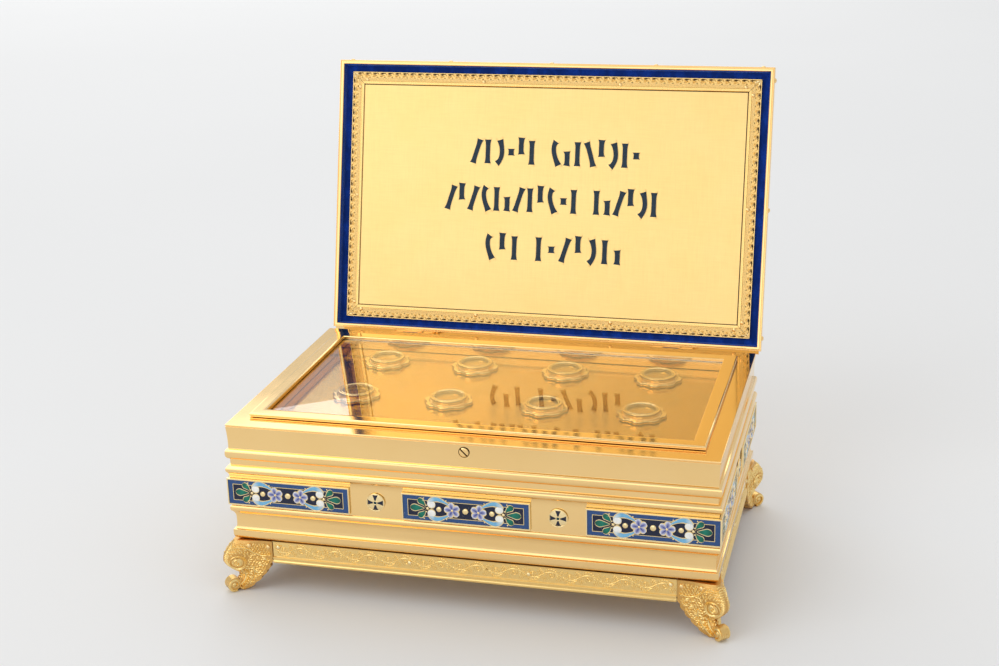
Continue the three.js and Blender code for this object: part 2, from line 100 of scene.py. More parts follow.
def in_case(x, y, z):
    """Maps case coordinates, which have the case's middle at the origin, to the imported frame."""
    return x, y + CENTRE_Y, z


def in_lid(x, y, depth):
    """Maps the shut lid's own coordinates, depth counted up from its lip, to the open lid."""
    y, z = y - PIN_BEHIND, depth + LIP_ABOVE_PIN
    c, s = math.cos(OPEN), math.sin(OPEN)
    return x, PIN_Y + y * c + z * s, PIN_Z - y * s + z * c


def lid_side(side):
    """Maps x along one edge of the lid, across from that edge's border line inwards, and out from the ornament."""
    half = (BORDER_Y, BORDER_X)[side % 2]
    c, s = SIDE_TURNS[side]

    def place(x, across, out):
        y = -half + across
        return in_lid(c * x - s * y, s * x + c * y, BORDER_DEPTH - out)

    return place


def nail_mark(place, a, b, out):
    """A nail's foot on the surface that place maps, and the way its head faces."""
    point = Vector(place(a, b, out))
    return point, Vector(place(a, b, out + 1)) - point


def as_drawn(x, y, z):
    """Leaves a point where it is drawn."""
    return x, y, z


# ------------------------------------------------------------------ drawing shapes
class Casting:
    """Points in millimetres and faces, gathered piece by piece and turned into one mesh in metres."""

    def __init__(self):
        self.points, self.faces, self.slots, self.tints = [], [], [], []

    def add(self, shape, slot=0, tint=(1, 1, 1), place=None):
        points, faces = shape
        first = len(self.points)
        self.points += [place(*p) for p in points] if place else points
        self.tints += tint if isinstance(tint, list) else [tint] * len(points)
        self.faces += [tuple(first + i for i in face) for face in faces]
        self.slots += [slot] * len(faces)
        return self

    def add_casting(self, other, place, slot=None):
        first = len(self.points)
        self.points += [place(*p) for p in other.points]
        self.tints += other.tints
        self.faces += [tuple(first + i for i in face) for face in other.faces]
        self.slots += other.slots if slot is None else [slot] * len(other.faces)
        return self

    def add_mesh(self, mesh, place, slot=0):
        tints = mesh.attributes.get("tint")
        shape = [tuple(v.co) for v in mesh.vertices], [tuple(f.vertices) for f in mesh.polygons]
        colours = [tuple(item.color)[:3] for item in tints.data] if tints else (1, 1, 1)
        return self.add(shape, slot, colours, place)

    def mesh(self, name, scale=MM, sharp_degrees=32):
        mesh = bpy.data.meshes.new(name)
        mesh.from_pydata([Vector(p) * scale for p in self.points], [], self.faces)
        mesh.polygons.foreach_set("material_index", self.slots)
        # The tint holds each enamel cell's own colour, and on cast gilt a share of painted shade: 1 in full light,
        # lower in the hollows, 0 in the slots.
        tint = mesh.color_attributes.new("tint", "FLOAT_COLOR", "POINT")
        tint.data.foreach_set("color", [c for t in self.tints for c in (*t[:3], 1.0)])
        work = bmesh.new()
        work.from_mesh(mesh)
        bmesh.ops.remove_doubles(work, verts=work.verts, dist=scale * 1e-4)
        bmesh.ops.recalc_face_normals(work, faces=work.faces)
        work.to_mesh(mesh)
        work.free()
        mesh.shade_smooth()
        mesh.set_sharp_from_angle(angle=math.radians(sharp_degrees))
        return mesh

    def piece(self, name, body, finishes, slot, replaces=(), sharp_degrees=32):
        """Makes the finished piece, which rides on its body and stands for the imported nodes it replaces."""
        mesh = self.mesh(name, sharp_degrees=sharp_degrees)
        for finish in finishes:
            mesh.materials.append(finish)
        obj = bpy.data.objects.new(name, mesh)
        bpy.context.scene.collection.objects.link(obj)
        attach(obj, body)
        if replaces:
            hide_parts(*replaces)
        return obj


def loft(sections, ringed=False):
    """Skins closed sections that have equal counts, capped at both ends or joined into a ring."""
    count, rows = len(sections[0]), len(sections)
    points = [p for section in sections for p in section]
    faces = []
    for row in range(rows if ringed else rows - 1):
        near, far = row * count, (row + 1) % rows * count
        for i in range(count):
            j = (i + 1) % count
            faces.append((near + i, near + j, far + j, far + i))
    if not ringed:
        faces += [tuple(range(count))[::-1], tuple(range((rows - 1) * count, rows * count))]
    return points, faces


def at(value, share):
    """A value, or what a function of the share of the way along gives."""
    return value(share) if callable(value) else value


def ridge(path, half_width, height, lift=0.0, flat=0.62, shoulder=0.72):
    """A closed raised ridge along a flat path: (x, y) on the ground and height above it."""
    sections = []
    last = len(path) - 1
    for i, (x, y) in enumerate(path):
        (ax, ay), (bx, by) = path[max(i - 1, 0)], path[min(i + 1, last)]
        length = math.hypot(bx - ax, by - ay) or 1
        nx, ny = (ay - by) / length, (bx - ax) / length
        w, h = at(half_width, i / last), at(height, i / last)
        sections.append([(x + nx * w * k, y + ny * w * k, lift + h * g)
                         for k, g in ((-1, 0), (-flat, shoulder), (0, 1), (flat, shoulder), (1, 0))])
    return loft(sections)


def dome(x, y, radius, height, lift=0.0, segments=12, steps=((1, 0), (0.88, 0.5), (0.55, 0.86))):
    """A low round head that stands on the ground, with a point of its own in the middle."""
    rings = [[(x + radius * r * math.cos(TAU * i / segments), y + radius * r * math.sin(TAU * i / segments),
               lift + height * h) for i in range(segments)] for r, h in steps]
    points, faces = loft(rings)
    faces.pop()
    top = len(points)
    points.append((x, y, lift + height))
    low = top - segments
    faces += [(low + i, low + (i + 1) % segments, top) for i in range(segments)]
    return points, faces


def turned(profile, segments, x=0.0, y=0.0):
    """A ring turned from a closed profile of (radius, height)."""
    sections = [[(x + r * math.cos(TAU * i / segments), y + r * math.sin(TAU * i / segments), h)
                 for r, h in profile] for i in range(segments)]
    return loft(sections, ringed=True)


def bow(start, knee, end, steps=8):
    """Points of a bow from start to end that leans towards a knee."""
    line = []
    for i in range(steps + 1):
        t = i / steps
        line.append(tuple(a * (1 - t) ** 2 + 2 * b * t * (1 - t) + c * t * t for a, b, c in zip(start, knee, end)))
    return line


def curl(x, y, start_radius, end_radius, start_degrees, turns, steps):
    """Points of a volute from its outer end to its eye."""
    line = []
    for i in range(steps + 1):
        t = i / steps
        angle = math.radians(start_degrees) + TAU * turns * t
        radius = start_radius + (end_radius - start_radius) * t ** 0.85
        line.append((x + radius * math.cos(angle), y + radius * math.sin(angle)))
    return line


def leaf(start, knee, end, width, height, lift=0.0, steps=5, blunt=0.75):
    """A pointed leaf lobe along a bow."""
    swell = lambda t: max(0.04, width * math.sin(math.pi * (0.06 + 0.94 * t) ** blunt))
    rise = lambda t: height * (0.25 + 0.75 * math.sin(math.pi * min(1, 0.15 + 0.8 * t)))
    return ridge(bow(start, knee, end, steps), swell, rise, lift)


def eased(profile, radius=0.16, limit_degrees=22):
    """Rounds the hard arrises of an open profile, as polishing does."""
    line = [profile[0]]
    for before, here, after in zip(profile, profile[1:], profile[2:]):
        a, b = Vector(before) - Vector(here), Vector(after) - Vector(here)
        if min(a.length, b.length) > 1e-6 and a.angle(b) < math.pi - math.radians(limit_degrees):
            reach = [min(radius, side.length * 0.3) for side in (a, b)]
            first, last = (Vector(here) + side.normalized() * r for side, r in zip((a, b), reach))
            guards = [Vector(here) + side.normalized() * r * 1.6 for side, r in zip((a, b), reach)]
            line += [tuple(guards[0]), *(tuple(p) for p in bow(first, here, last, 3)), tuple(guards[1])]
        else:
            line.append(here)
    return line + [profile[-1]]


def stepped(profile, longest=0.9):
    """Splits long runs of a profile, so that shading beside a bend stays local."""
    line = [profile[0]]
    for before, here in zip(profile, profile[1:]):
        count = max(1, min(12, math.ceil(math.dist(before, here) / longest)))
        line += [tuple(a + (b - a) * i / count for a, b in zip(before, here)) for i in range(1, count + 1)]
    return line


def frames(loops, place=as_drawn, ringed=False):
    """Skins rectangles given as (half x, half y, height)."""
    sections = [[place(sx * x, sy * y, z) for sx, sy in ((-1, -1), (1, -1), (1, 1), (-1, 1))] for x, y, z in loops]
    return loft(sections, ringed)


# ------------------------------------------------------------------ finishes
class Strand:
    """A value, vector or colour on its way through a finish, with plain arithmetic for values."""

    def __init__(self, finish, socket):
        self.finish, self.socket = finish, socket

    def _sum(self, operation, a, b):
        return self.finish.node("ShaderNodeMath", {"operation": operation}, {0: a, 1: b})

    def __add__(self, other):
        return self._sum("ADD", self, other)

    def __sub__(self, other):
        return self._sum("SUBTRACT", self, other)

    def __rsub__(self, other):
        return self._sum("SUBTRACT", other, self)

    def __mul__(self, other):
        return self._sum("MULTIPLY", self, other)

    __radd__, __rmul__ = __add__, __mul__

    def step(self, low, high):
        """0 below low, 1 above high and smooth between."""
        return self.finish.node("ShaderNodeMapRange", {"interpolation_type": "SMOOTHSTEP"},
                                {"Value": self, "From Min": low, "From Max": high})


class Finish:
    """A material built node by node round one Principled shader."""

    def __init__(self, name, **constants):
        self.material = bpy.data.materials.new(name)
        self.material.use_nodes = True
        self.tree = self.material.node_tree
        self.shader = self.tree.nodes["Principled BSDF"]
        for socket, value in constants.items():
            self.set(socket.replace("_", " "), value)

    def set(self, socket, value):
        """Gives one of the shader's own sockets a constant or a strand."""
        target = self.shader.inputs[socket]
        if isinstance(value, Strand):
            self.tree.links.new(value.socket, target)
        else:
            target.default_value = value

    def node(self, kind, settings=None, values=None, out=0):
        """Adds a node with its settings made first, then its constants and links, and gives back one output."""
        node = self.tree.nodes.new(kind)
        for key, value in (settings or {}).items():
            setattr(node, key, value)
        for key, value in (values or {}).items():
            if isinstance(value, Strand):
                self.tree.links.new(value.socket, node.inputs[key])
            else:
                node.inputs[key].default_value = value
        return Strand(self, node.outputs[out])

    def place(self, scale=(1, 1, 1), turn=(0, 0, 0)):
        """The object's own coordinates in metres, scaled and turned."""
        own = self.node("ShaderNodeTexCoord", out=3)
        return self.node("ShaderNodeMapping", None, {"Vector": own, "Scale": scale, "Rotation": turn})

    def cloud(self, size_mm, detail=2.0, rough=0.5, stretch=(1, 1, 1), turn=(0, 0, 0)):
        scale = tuple(1000 / size_mm / s for s in stretch)
        return self.node("ShaderNodeTexNoise", None,
                         {"Vector": self.place(scale, turn), "Scale": 1.0, "Detail": detail, "Roughness": rough})

    def blend(self, share, a, b, how="MIX"):
        return self.node("ShaderNodeMix", {"data_type": "RGBA", "blend_type": how},
                         {0: share, 6: a if isinstance(a, Strand) else (*a, 1),
                          7: b if isinstance(b, Strand) else (*b, 1)}, out=2)

    def bump(self, height, depth_mm, strength=1.0):
        self.set("Normal", self.node("ShaderNodeBump", None,
                                     {"Strength": strength, "Distance": depth_mm * MM, "Height": height}))


def toned(colour, *shares):
    """A colour with its red, green and blue scaled, by one share or by three."""
    shares = shares * 3 if len(shares) == 1 else shares
    return tuple(min(1, c * share) for c, share in zip(colour, shares))


def polished_gilt(props):
    """Mirror gilding over brass: a breath of haze, hairline polishing marks and a very slightly uneven sheet."""
    gilt = Finish("polished gilt", Metallic=1.0, Specular_IOR_Level=0.5)
    haze = gilt.cloud(38, 3, 0.55).step(0.3, 0.75)
    hairs = gilt.cloud(1.1, 2, 0.5, stretch=(40, 40, 1))
    gilt.set("Base Color", gilt.blend(haze, props.polished, toned(props.polished, 0.985, 0.965, 0.93)))
    gilt.set("Roughness", props.polish + haze * 0.03 + hairs * 0.02)
    sheet = gilt.cloud(55, 1, 0.4)
    gilt.bump(sheet * 0.85 + hairs * 0.012, 0.3, 0.5)
    return gilt.material


def satin_gilt(props, name="satin gilt", roughness=0.3, grain_depth=0.035, own=None):
    """Gilt plate with a fine crossed grain left by the abrasive."""
    gilt = Finish(name, Metallic=1.0)
    base = own or props.satin
    across = gilt.cloud(0.55, 2, 0.6, stretch=(26, 1, 1))
    along = gilt.cloud(0.55, 2, 0.6, stretch=(1, 26, 26))
    grain = across * 0.5 + along * 0.5
    patches = gilt.cloud(45, 3, 0.6).step(0.3, 0.7)
    tone = gilt.blend(patches, base, toned(base, 0.99, 0.975, 0.93))
    gilt.set("Base Color", gilt.blend(grain.step(0.35, 0.68) * 0.16, tone, toned(base, 0.62)))
    gilt.set("Roughness", roughness + grain * 0.12)
    gilt.bump(grain, grain_depth, 0.7)
    return gilt.material


# Painted shade: a near-black brown that stands in for the shadow deep in the slots of cast work.
SLOT_SHADE = (0.045, 0.018, 0.004)  # the deepest slots of cast work


def cast_gilt(props):
    """Cast and chased gilt: the high places in full colour, painted shade that darkens the hollows to tan and the slots
    to near black, and a fine matted ground.
    """
    gilt = Finish("cast gilt", Metallic=1.0)
    # The mesh's tint is a painted-light share here: 1 where the cast surface stands high in full light, lower on sunk
    # ground, 0 in the slots.
    relief = gilt.node("ShaderNodeAttribute", {"attribute_name": "tint"}, out=2)
    grain = gilt.cloud(0.7, 3, 0.6)
    spots = gilt.node("ShaderNodeTexVoronoi", None, {"Vector": gilt.place(), "Scale": 1150.0})
    # Painted shade in the hollows: the lower the tint, the more the colour turns tan; the same share also roughens the
    # matted ground.
    hollow_shade = (1 - relief) * (0.75 + grain * 0.5)
    tone = gilt.blend(grain.step(0.3, 0.7) * 0.35, props.cast, toned(props.cast, 0.86))
    tan = gilt.blend(hollow_shade.step(0.15, 1.0), tone, props.hollow_shade)
    # Where the tint falls to nothing, in the slots, the colour turns to the painted slot shade.
    gilt.set("Base Color", gilt.blend((1 - relief).step(0.84, 0.98), tan, SLOT_SHADE))
    gilt.set("Roughness", 0.2 + hollow_shade * 0.2 + grain * 0.08)
    gilt.bump(spots * (1 - relief) * 0.8 + grain * 0.3, 0.05, 0.8)
    return gilt.material


def enamel_glass():
    """Fired glass enamel with each cell's colour on the mesh: cloudy depth, pinholes and a wet gloss."""
    glass = Finish("blue enamel", Metallic=0.0, Coat_Weight=0.25, Coat_Roughness=0.05, Specular_IOR_Level=0.3)
    cell = glass.node("ShaderNodeAttribute", {"attribute_name": "tint"})
    depth = glass.cloud(2.4, 4, 0.65)
    cell = glass.blend(depth.step(0.35, 0.75) * 0.4, cell, (0.55, 0.58, 0.7), "MULTIPLY")
    pin = glass.node("ShaderNodeTexVoronoi", None, {"Vector": glass.place(), "Scale": 900.0})
    specks = (1 - pin.step(0.05, 0.16)) * glass.cloud(3, 1).step(0.52, 0.6)
    glass.set("Base Color", glass.blend(specks * 0.5, cell, (0.75, 0.78, 0.85)))
    glass.set("Roughness", 0.12 + depth * 0.12)
    glass.bump(depth * 0.6 + pin * 0.1, 0.08, 0.6)
    return glass.material


def blue_velvet(props):
    """Short upright pile with crushed patches."""
    pile = Finish("velvet", Metallic=0.0, Sheen_Weight=0.7, Sheen_Roughness=0.35, Sheen_Tint=(0.25, 0.42, 1, 1),
                  Specular_IOR_Level=0.1)
    tufts = pile.cloud(0.32, 3, 0.7)
    crush = pile.cloud(7, 3, 0.6, stretch=(1, 1, 2)).step(0.35, 0.7)
    tone = pile.blend(crush, toned(props.velvet, 0.6), toned(props.velvet, 1.35))
    pile.set("Base Color", pile.blend(tufts.step(0.3, 0.7), tone, toned(props.velvet, 0.4)))
    pile.set("Roughness", 0.85 + crush * 0.1)
    pile.bump(tufts, 0.3, 0.8)
    return pile.material


def lens_glass():
    """The crystal of a capsule: almost nothing but its own shine."""
    glass = Finish("lens glass", Metallic=0.0, IOR=1.5, Alpha=0.05)
    haze = glass.cloud(5, 2)
    glass.set("Base Color", glass.blend(haze, (0.98, 0.86, 0.60), (0.94, 0.78, 0.48)))
    glass.set("Roughness", 0.03 + haze * 0.03)
    return glass.material


def clear_glass():
    """Float glass with a trace of wipe marks."""
    glass = Finish("clear glass", Transmission_Weight=1.0, IOR=1.5, Base_Color=(0.985, 0.995, 0.99, 1))
    wipes = glass.cloud(30, 3, 0.6, stretch=(3, 1, 1)).step(0.45, 0.8)
    glass.set("Roughness", wipes * 0.012)
    glass.bump(glass.cloud(120, 1), 0.05, 0.2)
    return glass.material


def ink_enamel(props):
    """Dark fired filling of the shallow strokes."""
    ink = Finish("stroke enamel", Metallic=0.0, Coat_Weight=0.12, Coat_Roughness=0.1, Specular_IOR_Level=0.25)
    depth = ink.cloud(1.6, 3, 0.6)
    ink.set("Base Color", ink.blend(depth.step(0.3, 0.7), props.stroke, tuple(c * 1.7 + 0.004 for c in props.stroke)))
    ink.set("Roughness", 0.25 + depth * 0.15)
    ink.bump(depth, 0.05, 0.5)
    return ink.material


# ------------------------------------------------------------------ repeats, made with Geometry Nodes
def new_tree(name, inputs):
    """An empty tree with named inputs and one geometry output."""
    tree = bpy.data.node_groups.new(name, "GeometryNodeTree")
    tree.interface.new_socket("Geometry", in_out="OUTPUT", socket_type="NodeSocketGeometry")
    for label, kind, default in inputs:
        socket = tree.interface.new_socket(label, in_out="INPUT", socket_type="NodeSocket" + kind)
        if default is not None:
            socket.default_value = default
    return tree


def wire_tree(tree, kind, settings=None, **values):
    """Adds one node to a tree, with its settings, constants and links, and gives back its outputs."""
    node = tree.nodes.new(kind)
    for key, value in (settings or {}).items():
        setattr(node, key, value)
    for key, value in values.items():
        target = node.inputs[key.replace("_", " ")]
        if isinstance(value, bpy.types.NodeSocket):
            tree.links.new(value, target)
        else:
            target.default_value = value
    return node.outputs


def finish_tree(tree, instances, material):
    """Makes the copies real, gives them their finish and ends the tree."""
    real = wire_tree(tree, "GeometryNodeRealizeInstances", Geometry=instances)
    done = wire_tree(tree, "GeometryNodeSetMaterial", Geometry=real[0], Material=material)
    wire_tree(tree, "NodeGroupOutput", Geometry=done[0])
    return tree


def row_tree():
    """Sets one unit again and again along a straight row, centred on the middle of the row."""
    tree = new_tree("row of units", [("Unit", "Object", None), ("Count", "Int", 10), ("Pitch", "Float", 1.0),
                                     ("Finish", "Material", None)])
    given = wire_tree(tree, "NodeGroupInput")
    step = wire_tree(tree, "ShaderNodeCombineXYZ", X=given["Pitch"])
    line = wire_tree(tree, "GeometryNodeMeshLine", {"mode": "OFFSET"}, Count=given["Count"], Offset=step[0])
    gaps = wire_tree(tree, "ShaderNodeMath", {"operation": "SUBTRACT"})
    tree.links.new(given["Count"], gaps[0].node.inputs[0])
    gaps[0].node.inputs[1].default_value = 1
    half = wire_tree(tree, "ShaderNodeVectorMath", {"operation": "SCALE"}, Scale=gaps[0])
    tree.links.new(step[0], half[0].node.inputs[0])
    back = wire_tree(tree, "ShaderNodeVectorMath", {"operation": "SCALE"}, Scale=-0.5)
    tree.links.new(half[0], back[0].node.inputs[0])
    centred = wire_tree(tree, "GeometryNodeSetPosition", Geometry=line[0], Offset=back[0])
    unit = wire_tree(tree, "GeometryNodeObjectInfo", Object=given["Unit"])
    copies = wire_tree(tree, "GeometryNodeInstanceOnPoints", Points=centred[0], Instance=unit["Geometry"])
    return finish_tree(tree, copies[0], given["Finish"])


def stud_tree():
    """Drives a round-headed stud in at every point, square to the point's facing vector."""
    tree = new_tree("round-headed studs", [("Geometry", "Geometry", None), ("Head Radius", "Float", 1.0),
                                           ("Head Height", "Float", 0.6), ("Finish", "Material", None)])
    given = wire_tree(tree, "NodeGroupInput")
    head = wire_tree(tree, "GeometryNodeMeshUVSphere", Segments=14, Rings=8, Radius=1.0)
    radius, height = given["Head Radius"], given["Head Height"]
    size = wire_tree(tree, "ShaderNodeCombineXYZ", X=radius, Y=radius, Z=height)
    facing = wire_tree(tree, "GeometryNodeInputNamedAttribute", {"data_type": "FLOAT_VECTOR"}, Name="facing")
    turn = wire_tree(tree, "FunctionNodeAlignRotationToVector", {"axis": "Z"}, Vector=facing[0])
    copies = wire_tree(tree, "GeometryNodeInstanceOnPoints", Points=given["Geometry"], Instance=head[0],
                       Rotation=turn[0], Scale=size[0])
    return finish_tree(tree, copies[0], given["Finish"])


def grown(tree, base, **inputs):
    """Runs a tree on a mesh and gives back the plain mesh, with nothing live left behind."""
    host = bpy.data.objects.new("host", base)
    bpy.context.scene.collection.objects.link(host)
    modifier = host.modifiers.new("grow", "NODES")
    modifier.node_group = tree
    sockets = {item.name: item.identifier for item in tree.interface.items_tree if item.in_out == "INPUT"}
    for label, value in inputs.items():
        modifier[sockets[label.replace("_", " ")]] = value
    graph = bpy.context.evaluated_depsgraph_get()
    graph.update()
    mesh = bpy.data.meshes.new_from_object(host.evaluated_get(graph), depsgraph=graph)
    bpy.data.objects.remove(host)
    return mesh


def row(unit, count, pitch, finish):
    """One row of a small casting, as a mesh in millimetres."""
    source = bpy.data.objects.new("unit", unit.mesh("unit", scale=1.0))
    bpy.context.scene.collection.objects.link(source)
    mesh = grown(TREES["row"], bpy.data.meshes.new("empty"), Unit=source, Count=count, Pitch=pitch, Finish=finish)
    bpy.data.objects.remove(source)
    return mesh


def studs(name, body, marks, radius, height, finish):
    """Round heads at (point, facing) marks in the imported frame, in millimetres."""
    places = bpy.data.meshes.new("places")
    places.from_pydata([Vector(p) * MM for p, _ in marks], [], [])
    facing = places.attributes.new("facing", "FLOAT_VECTOR", "POINT")
    facing.data.foreach_set("vector", [c for _, way in marks for c in way])
    mesh = grown(TREES["stud"], places, Head_Radius=radius * MM, Head_Height=height * MM, Finish=finish)
    mesh.name = name
    mesh.shade_smooth()
    obj = bpy.data.objects.new(name, mesh)
    bpy.context.scene.collection.objects.link(obj)
    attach(obj, body)
    return obj


TREES, FINISHES = {}, {}


def finish(name):
    """The named finish, made once from the colours in the panel."""
    gilding, enamel = bpy.context.scene.casket_gilding, bpy.context.scene.casket_enamel
    makers = {
        "polished": lambda: polished_gilt(gilding),
        "satin": lambda: satin_gilt(gilding),
        "tray": lambda: satin_gilt(gilding, "relic floor gilt", 0.09, 0.005, gilding.tray),
        "bright": lambda: satin_gilt(gilding, "bright gilt", 0.16, 0.004, gilding.bright),
        "cast": lambda: cast_gilt(gilding),
        "enamel": enamel_glass,
        "velvet": lambda: blue_velvet(enamel),
        "stroke": lambda: ink_enamel(enamel),
        "glass": clear_glass,
        "lens": lens_glass,
    }
    if name not in FINISHES:
        FINISHES[name] = makers[name]()
    return FINISHES[name]


def refinish(node, name):
    """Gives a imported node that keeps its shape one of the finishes."""
    for slot in frame["nodes"][node].material_slots:
        slot.material = finish(name)


# ------------------------------------------------------------------ what a user may change
def colour(label, text, value):
    return FloatVectorProperty(name=label, description=text, subtype="COLOR", size=3, min=0, max=1, default=value)


def length(label, text, value, low, high):
    return FloatProperty(name=label, description=text, subtype="DISTANCE", unit="LENGTH", default=value * MM,
                         min=low * MM, max=high * MM)


class CasketGilding(bpy.types.PropertyGroup):
    """Colours and polish of the gilding."""

    polished: colour("Polished gilt", "Mouldings, glazed frame and lid", (0.98, 0.68, 0.30))
    satin: colour("Satin gilt", "Inscription plate", (0.97, 0.685, 0.275))
    # Painted highlight: a paler copy of the gilt on cell walls, beads, bosses, nails, raised leaves and the lens rims,
    # so they read as catching the light.
    bright: colour("Bright gilt", "Cell walls, beads and bosses", (1.0, 0.80, 0.44))
    tray: colour("Relic floor", "Deeper gilt under the glass", (0.79, 0.45, 0.07))
    cast: colour("Cast gilt", "Feet, aprons and lid border", (1.0, 0.725, 0.29))
    # Colour of the painted shade in the sunk places of cast work.
    hollow_shade: colour("Hollows", "Tan in the sunk places of cast work", (0.62, 0.31, 0.07))
    polish: FloatProperty(name="Polish", description="Roughness of the polished gilt", default=0.075, min=0, max=1,
                          subtype="FACTOR")


class CasketEnamel(bpy.types.PropertyGroup):
    """Colours of the enamels, strokes and velvet, and the size of the cell walls."""

    border: colour("Border blue", "Outer band of each plaque", (0.022, 0.075, 0.225))
    field: colour("Field navy", "Ground inside the wire frame", (0.004, 0.008, 0.036))
    leaf: colour("Leaf green", "Drop-shaped leaves", (0.0, 0.20, 0.13))
    scroll: colour("Scroll blue", "Crescent scrolls", (0.19, 0.50, 0.76))
    cream: colour("Cream", "Round petals", (0.90, 0.88, 0.76))
    petal: colour("Lilac", "Heart of the flowers", (0.060, 0.085, 0.36))
    petal_edge: colour("Petal edge", "Pale edge of the flowers", (0.88, 0.88, 0.92))
    stroke: colour("Strokes", "Filled strokes on the plate", (0.003, 0.017, 0.034))
    velvet: colour("Velvet", "Lining of the lid", (0.012, 0.068, 0.46))
    wire: length("Wire", "Width of the cell walls", 0.34, 0.1, 1.0)


class CasketRelief(bpy.types.PropertyGroup):
    """Pitches and heights of the chased ornament."""

    wave: length("Apron wave", "One wave of the apron foliage", 22.8, 8, 40)
    border_leaf: length("Border leaf", "Pitch of the leaves round the lid", 5.5, 2, 12)
    bead: length("Bead", "Pitch of the beads round the lid", 1.0, 0.6, 4)
    relief: length("Relief", "Height of the foliage", 0.5, 0.1, 2)
    nail: length("Nail", "Head radius of the fixing nails", 1.5, 0.4, 3)
    facets: IntProperty(name="Capsule facets", description="Steps round a capsule", default=96, min=24, max=192)


class CasketStage(bpy.types.PropertyGroup):
    """Floor and light."""

    floor: colour("Floor", "Pale floor", (0.83, 0.83, 0.825))
    key: FloatProperty(name="Key light", description="Power of the large soft light", default=14, min=0, max=2000)
    fill: FloatProperty(name="Surroundings", description="Brightness of the white surroundings", default=0.72, min=0,
                        max=5)


# ------------------------------------------------------------------ polished pieces
def moulding():
    """Outset and height down the outside of the case, from the rim to the base."""
    line = [(-0.35, RIM_Z), (-0.1, 110.9), (0.0, 110.65), (0.0, 110.25), (-0.45, 110.1), (-0.45, 109.75),
            (-0.06, 109.6)]
    for knee, end, steps, flats in (
            ((-0.9, 102.6), (-0.75, 95.2), 14, [(0.3, 94.8)]),  # fascia
            ((1.4, 93.6), (1.1, 91.2), 8, []),  # bead under it
            ((0.9, 89.2), (-1.1, 88.2), 8, [(-1.2, 84.2), (0.2, 84.0)]),
            ((2.3, 81.7), (0.95, 79.9), 12, []),  # bead over the frieze
            ((-0.2, 79.0), (-0.4, 75.9), 9, [(-0.4, 57.6), (0.2, 57.4)]),  # frieze
            ((1.2, 55.7), (0.2, 54.0), 8, []),  # bead under the frieze
            ((-1.9, 52.4), (-1.95, 48.5), 10, [(-1.95, 45.0)]),  # cove
            ((-1.9, 42.8), (-1.2, 41.6), 8, [(0.0, 41.2), (0.0, 38.0)]),  # base
            ((-0.1, 36.0), (-2.6, 34.7), 8, [])):
        line += bow(line[-1], knee, end, steps)[1:] + flats
    return line


def case_shell():
    """The case: its moulded outside, the true walls and the opening under the glazed frame."""
    outside = stepped(eased(moulding()))
    loops = [(HALF_X + out, HALF_Y + out, z) for out, z in outside]
    seat, under_rim, base, wall = 37.7, 107.8, 34.7, 4
    inside = [(14, base), (14, seat), (wall, seat), (wall, under_rim)]
    loops += [(HALF_X - d, HALF_Y - d, z) for d, z in inside]
    x, y = 136.6, 75.4
    loops += [(x, y, under_rim), (x, y, RIM_Z), (x + 0.2, y + 0.2, RIM_Z)]
    loops += [(HALF_X - d, HALF_Y - d, RIM_Z) for d in (11, 8, 5, 2.5, 1.0, 0.5)]
    return Casting().add(frames(loops, in_case, ringed=True))


def glazed_frame():
    """The frame round the glass, with a rounded nose on the rim and a groove for the pane."""
    section = [(3.5, 111.3), (0.35, 111.3), (0.2, 111.5), (0.2, 112.0), (0.55, 112.15), (0.55, 112.35), (0.0, 112.55),
               (0.0, 113.0), (0.3, 113.55), (0.9, 113.8), (7.6, 113.8), (8.2, 113.65), (8.5, 113.2), (8.5, 111.7),
               (6.3, 111.7), (6.3, 109.0), (8.5, 109.0), (8.5, 103.9), (3.5, 103.9)]
    loops = [(139.7 - d, 78.5 - d, z) for d, z in stepped(eased(section, 0.14), 2.0)]
    return Casting().add(frames(loops, in_case, ringed=True))


def lid_tray():
    """The lid as a shallow tray with a grooved lip, a stepped outside and a rail along the hinges."""
    top = 10.7
    section = [(LID_LIP, 7.6), (LID_LIP, 0.35), (LID_LIP - 0.3, 0.0), (1.3, 0.0), (1.15, 0.55), (0.65, 0.55),
               (0.5, 0.0), (0.3, 0.0), (0.05, 0.15), (0.0, 0.5), (0.0, 6.3), (0.35, 7.0), (1.2, 7.4), (1.6, 8.2),
               (3.4, 8.45), (6.0, 9.0), (7.0, 10.0), (8.2, top)]
    loops = [(LID_X - d, LID_Y - d, z) for d, z in stepped(eased(section, 0.12), 1.2)]
    tray = Casting().add(frames(loops, in_lid))
    # rail along the hinge edge, which closes the gap behind the case when the lid stands open
    rail = [(94.0, 1.0), (96.2, 1.0), (96.6, 1.3), (96.6, 3.6), (96.2, 4.0), (94.0, 4.0)]
    tray.add(loft([[(x, y, depth) for y, depth in rail] for x in (-LID_X + 1.5, LID_X - 1.5)]), place=in_lid)
    # two raised lines round the lid's outside
    for inset in (17, 21):
        ring = [(LID_X - inset + grow, LID_Y - inset + grow, top - sunk)
                for grow, sunk in ((1.2, 0.35), (1.0, 0.02), (0, 0.02), (-0.2, 0.35))]
        tray.add(frames(ring, in_lid, ringed=True))
    return tray


